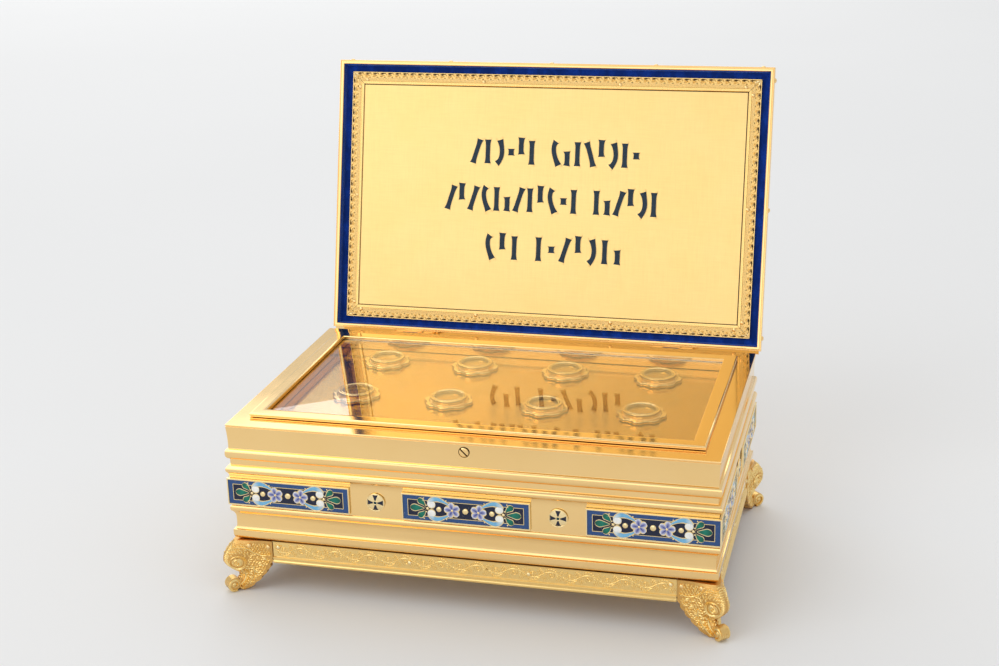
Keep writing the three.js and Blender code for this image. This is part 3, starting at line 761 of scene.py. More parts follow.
def slotted_head(radius, height, turn_degrees):
    """A screw head in two halves on either side of its slot, over a round seat, with the slot's floor painted in shade.
    """
    screw = Casting().add(turned([(0.02, -0.4), (radius, -0.4), (radius, height * 0.35), (0.02, height * 0.35)], 36))
    floor = [(0.02, height * 0.2), (radius * 0.97, height * 0.2), (radius * 0.97, height * 0.37), (0.02, height * 0.37)]
    # Painted shade: the slot's floor takes the cast finish with no tint, so it shows the near-black slot shade.
    screw.add(turned(floor, 36), 1, (0, 0, 0))
    half_slot = radius * 0.14
    for side in (0, 180):
        edge = []
        for r, h in ((1.0, 0.3), (0.97, 0.62), (0.86, 0.9), (0.7, 1.0)):
            span = math.acos(half_slot / (radius * r))
            edge.append([(radius * r * math.cos(a), radius * r * math.sin(a), height * h)
                         for a in (span - 2 * span * i / 18 for i in range(19))])
        shape = loft(edge)
        turn = Matrix.Rotation(math.radians(turn_degrees + side), 3, "Z")
        screw.add(([tuple(turn @ Vector(p)) for p in shape[0]], shape[1]))
    return screw


class CASKET_OT_metalwork(bpy.types.Operator):
    """Makes the case, glazed frame, lid and lock screw in polished gilt"""

    bl_idname = "casket.metalwork"
    bl_label = "Polished metalwork"

    def execute(self, context):
        polished = [finish("polished")]
        case_shell().piece("case_shell", "case", polished, "polished_gilt", ["case_walls"], 40)
        glazed_frame().piece("tray_frame", "case", polished, "polished_gilt", ["glazed_frame"], 40)
        lid_tray().piece("lid_shell", "lid", polished, "polished_gilt", ["lid_tray"], 40)
        stand = upright(FRONT, 0.55, 0, LOCK_Z)
        screw = Casting().add_casting(slotted_head(3.0, 1.05, 45), stand)
        # Painted shadow: a thin near-black ring round the head, where the screw meets its bore.
        seat_shadow = turned([(2.9, 0.45), (2.95, 0.6), (3.3, 0.6), (3.35, 0.45)], 40)
        screw.add(seat_shadow, 1, (0, 0, 0), stand)
        screw.piece("lock_screw_head", "case", polished + [finish("cast")], "polished_gilt", ["lock_screw"])
        for node in frame["nodes"]:
            if node.startswith("hinge_"):
                refinish(node, "polished")
        refinish("bottom_plate", "satin")
        refinish("inscription_plate", "satin")
        refinish("relic_floor", "tray")
        refinish("glass_pane", "glass")
        return {"FINISHED"}


class CASKET_OT_studs(bpy.types.Operator):
    """Drives the round-headed screws into the lid's edges"""

    bl_idname = "casket.studs"
    bl_label = "Lid studs"

    def execute(self, context):
        marks = []
        for side, count, pitch in ((FRONT, 5, 72), (RIGHT, 3, 86), (BACK, 3, 144), (LEFT, 3, 86)):
            half = (LID_Y, LID_X)[side % 2] - 0.1
            c, s = SIDE_TURNS[side]
            place = lambda x, depth, out: in_lid(c * x + s * (half + out), s * x - c * (half + out), depth)
            marks += [nail_mark(place, (i - (count - 1) / 2) * pitch, 4.2, 0) for i in range(count)]
        studs("lid_studs", "lid", marks, 1.7, 1.15, finish("polished"))
        return {"FINISHED"}


# ------------------------------------------------------------------ relic capsules
def capsule(facets):
    """A lobed flange under a round bezel, with its base on zero."""
    def lobed(notch, lobe):
        line = []
        for i in range(facets):
            angle = TAU * i / facets
            wave = 0.5 + 0.5 * math.tanh(math.cos(8 * angle) * 4.2 + 0.6) / math.tanh(4.8)
            line.append((angle, notch + (lobe - notch) * wave))
        return line

    def level(radii, height):
        return [(r * math.cos(a), r * math.sin(a), height) for a, r in radii]

    def ring(radius):
        return [(TAU * i / facets, radius) for i in range(facets)]

    loops = [level(ring(9.9), 0.0), level(lobed(14.1, 15.5), 0.0), level(lobed(14.2, 15.6), 0.2),
             level(lobed(14.2, 15.6), 1.5), level(lobed(13.95, 15.35), 1.8), level(ring(12.6), 1.85),
             level(ring(12.35), 2.1), level(ring(12.1), 1.85), level(ring(11.8), 1.9), level(ring(11.8), 3.0),
             level(ring(11.55), 3.15), level(ring(11.55), 3.35), level(ring(11.8), 3.5), level(ring(11.8), 4.2),
             level(ring(11.6), 4.58), level(ring(11.2), 4.7), level(ring(10.5), 4.7), level(ring(10.1), 4.55),
             level(ring(9.9), 4.2)]
    return loft(loops, ringed=True)


CAPSULES_IN_ROW, CAPSULE_PITCH = 4, 61.3
BED = [(0.02, 0.1), (9.9, 0.1), (9.9, 2.75), (9.0, 2.6), (0.02, 2.55)]
LENS_EDGE = [(9.0, 2.9), (9.85, 3.0), (9.85, 4.1), (9.7, 4.5), (9.35, 4.6), (9.05, 4.45), (9.0, 4.1)]
LENS = [(0.02, 2.9), (9.0, 2.9), (9.0, 4.1), (7.0, 4.25), (4.8, 4.4), (2.4, 4.48), (0.02, 4.5)]


class CASKET_OT_capsules(bpy.types.Operator):
    """Sets the eight glazed capsules on the relic floor"""

    bl_idname = "casket.capsules"
    bl_label = "Relic capsules"

    def execute(self, context):
        facets = context.scene.casket_relief.facets
        boxes = [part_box(f"capsule_{n}_case") for n in (1, 1 + CAPSULES_IN_ROW)]
        rows = [((low.y / MM + high.y / MM) / 2, low.z / MM) for low, high in boxes]
        for unit, name, made, slot, end in (
                (capsule(facets), "capsule_cases", "polished", "polished_gilt", "case"),
                (turned(BED, 48), "capsule_beds", "tray", "satin_gilt", None),
                # The lens edge rings in the paler gilt paint the glints on the rims of the lenses.
                (turned(LENS_EDGE, 64), "lens_edges", "bright", "polished_gilt", None),
                (turned(LENS, 56), "capsule_lenses", "lens", "clear_glass", "lens")):
            whole = Casting()
            line = row(Casting().add(unit), CAPSULES_IN_ROW, CAPSULE_PITCH, finish(made))
            for y, z in rows:
                whole.add_mesh(line, lambda px, py, pz, y=y, z=z: (px, py + y, pz + z))
            nodes = [f"capsule_{n}_{end}" for n in range(1, 1 + 2 * CAPSULES_IN_ROW)] if end else ()
            whole.piece(name, "case", [finish(made)], slot, nodes, 40)
        return {"FINISHED"}


# ------------------------------------------------------------------ lid lining
class CASKET_OT_velvet(bpy.types.Operator):
    """Stretches the velvet over the bottom of the lid"""

    bl_idname = "casket.velvet"
    bl_label = "Velvet lining"

    def execute(self, context):
        half_x, half_y, top, back, lip = LID_X - LID_LIP - 0.12, LID_Y - LID_LIP - 0.12, 6.5, 7.3, 0.75
        sheet = Casting()
        section = [(0.0, back), (0.0, lip), (0.32, lip + 0.05), (0.45, lip + 0.5), (0.42, 2.5), (0.45, 5.0), (0.6, 6.0),
                   (0.95, 6.4), (1.6, top), (3.0, top), (5.0, top), (7.5, top)]
        rings = [(half_x - d, half_y - d, z) for d, z in section]
        bands = []
        for x, y, z in rings:
            line = []
            for start, end in (((-x, -y), (x, -y)), ((x, -y), (x, y)), ((x, y), (-x, y)), ((-x, y), (-x, -y))):
                steps = 150 if start[1] == end[1] else 92
                for i in range(steps):
                    px, py = (a + (b - a) * i / steps for a, b in zip(start, end))
                    crush = 0.10 * noise.noise(Vector((px * 0.5, py * 0.5, z * 0.5))) if lip < z < back else 0.0
                    line.append((px - crush * math.copysign(1, px) if abs(px) > x - 0.01 else px,
                                 py - crush * math.copysign(1, py) if abs(py) > y - 0.01 else py, z + crush))
            bands.append(line)
        sheet.add(loft(bands), place=in_lid)
        cloth = sheet.piece("velvet_sheet", "lid", [finish("velvet")], "velvet", ["velvet_lining"])
        cut = [2 * (half + top - lip) * MM for half in (half_x, half_y)]
        return {"FINISHED"}


# ------------------------------------------------------------------ strokes on the plate
TALL, SLOPE, BACK_SLOPE, BEND, BACK_BEND, LOW, HIGH, LOZENGE = range(8)
STROKES = {  # width, then the stroke's start, knee, end and weight, in shares of the row's height
    TALL: (5.0, (0.10, 0), (0.10, 0.5), (0.10, 1), 0.12),
    SLOPE: (6.6, (0.02, 0), (0.16, 0.5), (0.32, 1), 0.12),
    BACK_SLOPE: (6.6, (0.32, 0), (0.2, 0.5), (0.02, 1), 0.12),
    BEND: (6.2, (0.04, 0), (0.40, 0.30), (0.16, 1), 0.12),
    BACK_BEND: (6.2, (0.28, 0), (-0.08, 0.70), (0.16, 1), 0.12),
    LOW: (4.8, (0.10, 0), (0.13, 0.32), (0.10, 0.6), 0.13),
    HIGH: (4.8, (0.10, 0.42), (0.07, 0.7), (0.10, 1.12), 0.13),
    LOZENGE: (5.0, (0.12, 0.36), (0.12, 0.5), (0.12, 0.64), 0.14),
}
ROWS = [  # low edge above the hinge, left end, right end, height, groups of strokes
    (119.7, -55.5, 62.7, 16.4, [[SLOPE, TALL, BEND, LOZENGE, HIGH, TALL],
                                [BACK_BEND, LOW, TALL, BACK_SLOPE, HIGH, BEND, TALL, LOZENGE]]),
    (87.0, -73.0, 76.5, 16.4, [[SLOPE, HIGH, SLOPE, BACK_BEND, TALL, LOW, SLOPE, TALL, HIGH, BACK_BEND, LOZENGE,
                                TALL], [TALL, LOW, SLOPE, HIGH, BEND, TALL]]),
    (53.4, -43.6, 52.5, 16.4, [[BACK_BEND, HIGH, TALL], [TALL, LOZENGE, SLOPE, HIGH, BEND, TALL, LOW]]),
]


class CASKET_OT_inscription(bpy.types.Operator):
    """Lays three rows of shallow filled strokes on the lid's plate"""

    bl_idname = "casket.inscription"
    bl_label = "Rows of strokes"

    def execute(self, context):
        marks, edging = Casting(), Casting()
        place = lambda x, up, out: in_lid(x, LID_Y - up, PLATE_DEPTH - out)
        space = 8.5
        for low, left, right, height, words in ROWS:
            widths = [sum(STROKES[s][0] for s in word) for word in words]
            strokes = sum(len(word) for word in words)
            gap = (right - left - sum(widths) - space * (len(words) - 1)) / (strokes - 1)
            x = left
            for word in words:
                for kind in word:
                    wide, start, knee, end, weight = STROKES[kind]
                    line = [(x + 1.4 + px * height, low + py * height) for px, py in bow(start, knee, end, 14)]
                    flare = lambda t, w=weight * height: w * (0.74 + 0.46 * (2 * t - 1) ** 4 + 0.10 * math.sin(3 * t))
                    rim = lambda t, f=flare: f(t) + 0.42
                    before, after = (tuple(Vector(line[i]) * 2 - Vector(line[j])) for i, j in ((0, 1), (-1, -2)))
                    edging.add(ridge([before, *line, after], rim, 0.05, 0.0, 0.96, 0.98), place=place)
                    marks.add(ridge(line, flare, 0.10, 0.02, 0.93, 0.9), place=place)
                    x += wide + gap
                x += space
        marks.piece("stroke_rows", "lid", [finish("stroke")], "blue_enamel")
        edging.piece("stroke_edges", "lid", [finish("satin")], "satin_gilt")
        return {"FINISHED"}


# ------------------------------------------------------------------ lid border
def border_bar(half_length):
    """One mitred strip: a sunk band for the leaves, a bead channel, and plain fillets on the plate side."""
    back = -2.6
    section = stepped([(0.35, back), (0.35, -0.45), (0.5, -0.3), (0.9, -0.3), (1.0, -0.5), (6.7, -0.5), (6.9, -0.15),
                       (7.1, 0.0), (7.5, 0.0), (7.65, -0.3), (7.95, -0.3), (8.1, -0.05), (8.5, -0.05), (8.8, -0.25),
                       (9.1, -0.75), (9.2, back)], 1.4)
    ends = [[(side * (half_length - across - 0.15), across, h) for across, h in section] for side in (-1, 1)]
    # Painted shade: the sunk band behind the leaves gets a tint of 0.5 and the raised fillets 0.95, so the cast gilt
    # darkens the band.
    ground, fillet = (0.5,) * 3, (0.95,) * 3
    return loft(ends), [ground if 0.95 < across < 6.8 else fillet for across, _ in section] * 2


def border_leaf(relief):
    """The slanting leaves of one unit, about 5.5 mm of the row, and the sunk slots beside them."""
    leaves, slots, low = Casting(), Casting(), -0.5
    for line, half_width in (([(-2.2, 1.5), (-0.6, 1.42), (1.0, 1.5)], lambda t: 0.5 - 0.3 * abs(2 * t - 1)),
                             ([(-1.7, 2.15), (0.6, 2.75)], 0.18), ([(0.5, 4.1), (1.6, 4.3)], 0.2)):
        # The slots carry a tint of nothing, which paints them in the near-black slot shade.
        slots.add(ridge(line, half_width, 0.03, low), tint=(0, 0, 0))
    leaves.add(leaf((-2.6, 2.3), (-0.4, 1.95), (1.7, 3.9), 0.5, relief, low, 6, 1.0))
    leaves.add(leaf((0.9, 0.95), (1.9, 1.5), (2.5, 3.0), 0.45, relief, low, 5))
    leaves.add(ridge(curl(-0.9, 3.4, 0.8, 0.3, 120, 1.1, 6), 0.22, relief * 0.8, low))
    leaves.add(leaf((-2.4, 4.1), (-1.8, 3.1), (-1.9, 2.6), 0.35, relief * 0.7, low, 3))
    return leaves, slots


class CASKET_OT_lid_border(bpy.types.Operator):
    """Frames the plate with leaf scrolls, a row of beads and plain fillets"""

    bl_idname = "casket.lid_border"
    bl_label = "Lid border"

    def execute(self, context):
        relief = context.scene.casket_relief
        bars, leaves, beads = Casting(), Casting(), Casting()
        bead = lambda across, radius: Casting().add(dome(0, across, radius, radius, -0.45, 6, ((1, 0), (0.75, 0.65))))
        leaf_unit, slot_unit = border_leaf(1.4 * relief.relief / MM)
        for side in range(4):
            place, half = lid_side(side), (BORDER_X, BORDER_Y)[side % 2]
            strip, tints = border_bar(half)
            bars.add(strip, tint=tints, place=place)
            span = 2 * (half - 3.4)
            count = int(span / (relief.border_leaf / MM))
            leaves.add_mesh(row(leaf_unit, count, span / count, finish("bright")), place)
            bars.add_mesh(row(slot_unit, count, span / count, finish("cast")), place)
            for across, radius, pitch, spare in ((0.6, 0.34, 0.8, 0.8), (4.9, 0.4, 1.0, 5.2), (5.95, 0.42, 1.0, 6.2)):
                span = 2 * (half - spare)
                count = int(span / (pitch * relief.bead / MM))
                beads.add_mesh(row(bead(across, radius), count, span / count, finish("bright")), place)
            for reach in (2.2, 3.6):
                for end in (1, -1):
                    line = ((1.2, 1.2), (reach + 1.5, 1.6), (reach + 2.2, reach + 1.4))
                    leaves.add(leaf(*((end * (half - x), y) for x, y in line), 0.55, 0.55, -0.5), place=place)
        bars.piece("border_bars", "lid", [finish("cast")], "cast_gilt", [f"border_{name}" for name in SIDE_NAMES])
        leaves.piece("border_leaves", "lid", [finish("bright")], "cast_gilt", sharp_degrees=60)
        beads.piece("border_beads", "lid", [finish("bright")], "cast_gilt", sharp_degrees=60)
        marks = []
        for side in range(4):
            place, half = lid_side(side), (BORDER_X, BORDER_Y)[side % 2]
            spots = [-half + 11, half - 11] + ([-half / 3, half / 3] if side % 2 == 0 else [0])
            marks += [nail_mark(place, x, 5.9, -0.4) for x in spots]
        studs("border_nails", "lid", marks, 1.5, 0.8, finish("polished"))
        return {"FINISHED"}


# ------------------------------------------------------------------ enamel plaques
def shade(a, b, t):
    """The colour a share t of the way from a to b."""
    return tuple(x + (y - x) * t for x, y in zip(a, b))


ENAMEL, WIRE = 0, 1  # a plaque's material slots
STONE_BLUE, MILK = (0.02, 0.03, 0.16), (0.98, 0.97, 0.9)


def plaque(length, props):
    """One cloisonne plaque lying on its back, with its middle on the origin and its face towards +z."""
    work = Casting()
    half_x, half_y, field = length / 2, 8.65, 1.05
    rim = ((0, 0), (0, 1.3), (0.08, 1.44), (0.22, 1.5), (0.62, 1.5), (0.76, 1.44), (0.8, 1.3), (0.8, 0.9))
    work.add(frames([(half_x - d, half_y - d, z) for d, z in rim]), WIRE)
    px = lambda share: -half_x + share * length
    wire = props.wire / MM / 2
    band = ((0.8, 0.7), (0.8, field), (1.4, field + 0.06))
    work.add(frames([(half_x - d, half_y - d, z) for d, z in band]), ENAMEL, tuple(props.border))
    inner_x, inner_y = half_x - 0.05 * length, 5.2
    ground = ((0, 0.8), (0, field + 0.10), (0.5, field + 0.14))
    work.add(frames([(inner_x - d, inner_y - d, z) for d, z in ground]), ENAMEL, tuple(props.field))
    line = ((-wire, field), (-wire, field + 0.3), (wire, field + 0.3), (wire, field))
    work.add(frames([(inner_x + d, inner_y + d, z) for d, z in line], ringed=True), WIRE)

    def cell(path, widths, colours, lift, rise=0.26):
        """One glass cell with its wall: the glass swells over the wire's foot."""
        grown = [tuple(Vector(path[0]) * 1.02 - Vector(path[1]) * 0.02)] + path[1:]
        shape = ridge(path, widths, rise, lift, 0.6, 0.8)
        tints = []
        for i in range(len(path)):
            row_colour = colours(i / (len(path) - 1))
            tints += row_colour if isinstance(row_colour, list) else [row_colour] * 5
        wall = ridge(grown, lambda t: at(widths, t) + 2 * wire, rise * 0.72, lift - 0.12, 0.94, 0.96)
        work.add(wall, WIRE).add(shape, ENAMEL, tints)

    def drop(size, widest=0.64):
        """Half width of a drop-shaped cell, which is widest towards its round end."""
        narrow = lambda t: (t / widest) ** 0.85
        round_end = lambda t: math.sqrt(max(0, 1 - ((t - widest) / (1 - widest)) ** 2))
        return lambda t: max(0.1, size * (narrow(t) if t < widest else round_end(t)))

    green = lambda t: shade(props.leaf, toned(props.leaf, 0.45), abs(2 * t - 1))
    pale = lambda t: shade(props.cream, props.scroll, min(1, t * 2.3))
    petal_rows = lambda t: [shade(props.petal, props.petal_edge, k)
                            for k in (1.0, 0.3 + 0.7 * t ** 2, 0.95 * t ** 6, 0.3 + 0.7 * t ** 2, 1.0)]
    for mirror in (1, -1):
        at_x = lambda share, m=mirror: m * px(share)
        cell([(at_x(0.180 - 0.112 * i / 12), 0.0) for i in range(13)], drop(2.3), green, field + 0.12)
        for up in (1, -1):
            start, end = (at_x(0.187), up * 1.5), (at_x(0.128), up * 5.7)
            cell(bow(start, (at_x(0.168), up * 4.0), end, 11), drop(2.0), green, field + 0.12)
            twig = bow((at_x(0.205), 0), (at_x(0.19), up * 0.6), (at_x(0.178), up * 1.8), 5)
            work.add(ridge(twig, wire * 1.1, 0.42, field), WIRE)
            # crescent scroll, which grows out of the round petal and thins towards the flower
            line = bow((at_x(0.212), up * 3.6), (at_x(0.262), up * 9.3), (at_x(0.372), up * 3.2), 14)
            fat = lambda t: 0.22 + 1.62 * math.sin(math.pi * (0.10 + 0.86 * t)) ** 0.9 * (1.05 - 0.45 * t)
            depths = (0.75, 0.25, 0.0, 0.1, 0.4)[::up * mirror]
            cell(line, fat, lambda t: [shade(pale(t), toned(props.scroll, 0.6), k) for k in depths], field + 0.16)
            cell([(at_x(0.236) + 2.5 * math.cos(a), up * 2.85) for a in (math.pi * (1 - i / 8) for i in range(9))],
                 lambda t: max(0.1, 2.45 * math.sqrt(max(0, 1 - (math.cos(math.pi * t)) ** 2))),
                 lambda t: shade(props.cream, MILK, math.sin(math.pi * t)), field + 0.22, 0.34)
            for share, y in ((0.196, 2.1), (0.176, 6.6), (0.33, 6.3), (0.352, 6.0)):
                work.add(dome(at_x(share), up * y, 0.55, 0.5, field, 8, ((1, 0), (0.75, 0.65))), WIRE)
        work.add(dome(at_x(0.205), 0, 1.0, 0.75, field, 10), WIRE)
        work.add(dome(at_x(0.294), 0, 1.75, 0.8, field + 0.05, 16), WIRE)
        # flower of five notched petals
        cx = at_x(0.398)
        for petal in range(5):
            angle = math.pi / 2 + TAU * petal / 5 + 0.2 * mirror
            away = lambda r, a=angle: (cx + r * math.cos(a), r * math.sin(a))
            cell([away(0.6 + 4.3 * i / 8) for i in range(9)],
                 lambda t: max(0.15, 2.5 * math.sin(math.pi * min(0.97, 0.08 + 0.86 * t)) ** 0.7 * (0.55 + 0.5 * t)),
                 petal_rows, field + 0.2, 0.38)
            work.add(dome(*away(1.9), 0.3, 0.25, field + 0.5, 6, ((1, 0), (0.7, 0.7))), ENAMEL, STONE_BLUE)
        work.add(dome(cx, 0, 0.85, 0.55, field + 0.35, 10), WIRE)
    work.add(dome(0, 0, 1.95, 0.85, field + 0.05, 18), WIRE)
    return work


PLAQUES = (  # for a long and for a short side: a plaque's length, then each one's name and middle along the side
    (78.8, (("left", -111.9), ("middle", 0.0), ("right", 111.9))),
    (75.9, (("left", -54.15), ("right", 54.15))),
)


class CASKET_OT_plaques(bpy.types.Operator):
    """Makes the ten cloisonne plaques of the frieze"""

    bl_idname = "casket.plaques"
    bl_label = "Enamel plaques"

    def execute(self, context):
        props = context.scene.casket_enamel
        units = [plaque(long, props) for long, _ in PLAQUES]
        for side in (FRONT, BACK, RIGHT, LEFT):
            for name, middle in PLAQUES[side % 2][1]:
                work = Casting().add_casting(units[side % 2], upright(side, FACE_INSET, middle, PLAQUE_Z))
                work.piece(f"plaque_{SIDE_NAMES[side]}_{name}", "case", [finish("enamel"), finish("bright")],
                           "blue_enamel", [f"enamel_{SIDE_NAMES[side]}_{name}"])
        return {"FINISHED"}


# ------------------------------------------------------------------ bosses
DISC, ARM = 0, 1  # a boss's material slots
ARM_BLACK, STONE_GREEN = (0.006, 0.010, 0.030), (0.0, 0.035, 0.04)


def boss():
    """A gilt disc with a raised rim, four flaring enamel arms and a dark stone."""
    disc = [(0.02, 0), (5.8, 0), (5.8, 0.75), (5.7, 0.95), (5.45, 1.02), (5.25, 0.95), (5.1, 0.72), (4.6, 0.86),
            (3.6, 1.05), (2.4, 1.18), (1.2, 1.24), (0.02, 1.25)]
    work = Casting().add(turned(disc, 48), DISC)
    swell = lambda x, y, h: (x, y, h - 0.0235 * (x * x + y * y))
    for arm in range(4):
        angle = TAU * arm / 4
        out = lambda r, a=angle: (r * math.cos(a), r * math.sin(a))
        line = [out(1.15 + 3.65 * i / 8) for i in range(9)]
        flare = lambda t: 0.5 + 1.45 * t ** 1.5
        work.add(ridge(line, lambda t: flare(t) + 0.2, 0.12, 1.2, 0.94, 0.95), DISC, place=swell)
        work.add(ridge(line, flare, 0.2, 1.2, 0.86, 0.92), ARM, ARM_BLACK, place=swell)
    work.add(turned([(0.3, 1.1), (1.45, 1.1), (1.4, 1.36), (1.2, 1.45), (1.0, 1.36), (0.3, 1.3)], 24), DISC)
    work.add(dome(0, 0, 1.05, 0.42, 1.15, 18), ARM, STONE_GREEN)
    return work


class CASKET_OT_bosses(bpy.types.Operator):
    """Makes the six round bosses between the plaques"""

    bl_idname = "casket.bosses"
    bl_label = "Cross bosses"

    def execute(self, context):
        unit = boss()
        for side in range(4):
            spots = (("_left", -56.0), ("_right", 56.0)) if side % 2 == 0 else (("", 0.0),)
            for end, middle in spots:
                work = Casting().add_casting(unit, upright(side, FACE_INSET, middle, BOSS_Z))
                name = f"boss_{SIDE_NAMES[side]}{end}"
                work.piece(f"cross_{name}", "case", [finish("bright"), finish("enamel")], "polished_gilt", [name])
        return {"FINISHED"}


# ------------------------------------------------------------------ aprons
def apron_bar(half_length):
    """Sunk band for the foliage over two plain fillets. Across is height, out is from the apron's back."""
    section = [(20.0, 0.0), (20.0, 2.9), (20.15, 3.25), (20.5, 3.4), (21.3, 3.4), (21.6, 3.2), (21.9, 2.8), (22.7, 2.8),
               (23.0, 3.15), (23.4, 3.2), (23.9, 3.1), (24.2, 2.5), (24.5, 2.15), (33.6, 2.15), (33.85, 2.5),
               (34.05, 2.7), (34.4, 2.7), (34.4, 0.0)]
    return loft([[(side * half_length, z, out) for z, out in stepped(section, 1.5)] for side in (-1, 1)])


def rinceau(wave, relief):
    """One full wave of running foliage: a stem, two volutes and the leaves that fringe them."""
    unit = Casting()
    mid, base = 29.15, 2.15
    stem = [(-wave / 2 + wave * i / 24, mid + 2.2 * math.sin(TAU * (i / 24 - 0.5))) for i in range(25)]
    unit.add(ridge(stem, 0.42, relief * 0.9, base))
    for up, cx in ((1, wave / 4), (-1, -wave / 4)):
        cy = mid - up * 0.1
        unit.add(ridge(curl(cx, cy, 3.0, 0.45, 240 * up, -1.5 * up, 20), lambda t: 0.48 - 0.18 * t, relief, base))
        unit.add(dome(cx, cy, 0.75, relief * 0.9, base, 8))
        for step in range(9):
            a = math.radians((168 - 24 * step) * up)
            b = a - math.radians(26 * up)
            point = lambda r, way: (cx + r * math.cos(way), cy + min(1.0, 4.5 / r) * r * math.sin(way))
            unit.add(leaf(point(3.3, a), point(4.3, a), point(4.85, b), 0.62, relief, base, 4))
            if step % 2:
                unit.add(leaf(point(1.3, a), point(1.9, a), point(2.5, b), 0.45, relief * 0.8, base, 3))
        for k in (-1, 1):
            for j in range(3):
                x, y = cx + k * (3.4 + 0.9 * j), cy - up * (1.5 - 0.7 * j)
                knee, tip = (x + k * 0.4, y - up * 1.6), (x + k * 1.6, y - up * 2.4)
                unit.add(leaf((x, y), knee, tip, 0.5, relief * 0.85, base, 4))
    return unit


APRONS = (  # for a long and for a short side: half length, and the nails' places
    (125.5, ((-122, 30.7), (-37, 28.7), (37, 28.7), (122, 30.7))),
    (68.0, ((-64.5, 30.7), (0, 28.7), (64.5, 30.7))),
)
# Painted shade: the apron's sunk band behind the foliage gets a tint of 0.7, so the cast gilt darkens it.
APRON_INSET, APRON_GROUND_SHADE = 4.2, (0.7, 0.7, 0.7)


class CASKET_OT_aprons(bpy.types.Operator):
    """Makes the four aprons with their running foliage and nails"""

    bl_idname = "casket.aprons"
    bl_label = "Aprons"

    def execute(self, context):
        relief = context.scene.casket_relief
        marks, bars, foliage = [], Casting(), Casting()
        for side in range(4):
            half, spots = APRONS[side % 2]
            place = on_side(side, APRON_INSET)
            count = round(2 * (half - 1.5) / (relief.wave / MM))
            wave = 2 * (half - 1.5) / count
            bars.add(apron_bar(half), tint=APRON_GROUND_SHADE, place=place)
            foliage.add_mesh(row(rinceau(wave, relief.relief / MM), count, wave, finish("cast")), place)
            marks += [nail_mark(place, x, z, 2.5) for x, z in spots]
        nodes = [f"apron_{name}" for name in SIDE_NAMES]
        bars.piece("apron_bars", "case", [finish("cast")], "cast_gilt", nodes)
        foliage.piece("apron_foliage", "case", [finish("cast")], "cast_gilt", sharp_degrees=60)
        studs("apron_nails", "case", marks, relief.nail / MM, 0.95, finish("bright"))
        return {"FINISHED"}


# ------------------------------------------------------------------ feet
FOOT_TOP = 34.4
# down the foot: how far its corner ridge stands out, and how far its flank runs in
KNEE = [(FOOT_TOP, 0.6), (31.5, 3.0), (29, 4.5), (26, 6.1), (22, 6.6), (18.5, 5.3), (14.5, 2.3), (12, -0.2),
        (10.5, -1.1), (8, -0.2), (6, 0.5), (3.5, 1.0), (0.3, 0.8)]
EDGE = [(FOOT_TOP, 24.2), (22.4, 24.2), (19.5, 23.0), (16, 21.4), (12, 18.4), (8, 15.0), (4.5, 11.2), (2, 7.8),
        (0.3, 4.5)]


def read(table, z):
    """Smooth reading of a falling table of (height, value)."""
    for (z0, v0), (z1, v1) in zip(table, table[1:]):
        if z >= z1:
            t = min(1, max(0, (z0 - z) / (z0 - z1)))
            return v0 + (v1 - v0) * t
    return table[-1][1]


def knee_out(z):
    """How far the corner ridge stands out from the case's corner, with the table's kinks rounded off."""
    return sum(read(KNEE, z + d) for d in (-1.2, -0.6, 0, 0.6, 1.2)) / 5


def edge_run(z):
    """How far the bracket runs in from the case's corner, with five scallops down its inner edge."""
    run = sum(read(EDGE, z + d) for d in (-1, 0, 1)) / 3
    if z < 23.4:
        run += 1.15 * abs(math.sin(math.pi * 5 * (23.4 - z) / 22.4)) - 0.6
    return run


CHAMFER, FLANK_FACE, FLARE = 2.4, -1.2, 20.0  # width of the ridge, the flank's plane, and the run of the swell
TOE_OUT, TOE_RADIUS = 3.1, 5.3
FOLIAGE_SEED = 12


def flank_out(a, z):
    """How far a flank stands out from the case's plane, a millimetres in from the case's corner."""
    out = knee_out(z)
    beyond = max(0.0, out - CHAMFER + a)
    return FLANK_FACE + (out - FLANK_FACE) * 0.5 * (1 + math.cos(math.pi * min(1, beyond / FLARE)))


def foot_plan(z, steps=26):
    """Closed plan of the bracket at one height. The case's corner is the origin, and the case lies to -x and -y."""
    out, run = knee_out(z), edge_run(z)
    flank = []
    for i in range(steps):
        share = (1 - i / (steps - 1)) ** 1.25
        a = share * (run + out - CHAMFER) - (out - CHAMFER)
        flank.append((-a, flank_out(a, z)))
    corner = [p for p in bow(flank[-1], (out, out), (flank[-1][1], flank[-1][0]), 8)[1:-1]]
    outer = flank + corner + [(y, x) for x, y in reversed(flank)]
    inner = FLANK_FACE - 3.2
    return [(x, y, z) for x, y in outer + [(inner, -run), (inner, inner), (-run, inner)]]


def on_flank(mirrored):
    """Maps a along a flank, z up and a height out from its skin to the foot's own coordinates."""
    def place(a, z, high):
        y, e = flank_out(a, z), 0.25
        da = (flank_out(a + e, z) - flank_out(a - e, z)) / (2 * e)
        dz = (flank_out(a, z + e) - flank_out(a, z - e)) / (2 * e)
        way = Vector((da, 1, -dz)).normalized() * high
        x, y, z = -a + way.x, y + way.y, z + way.z
        return (y, x, z) if mirrored else (x, y, z)

    return place


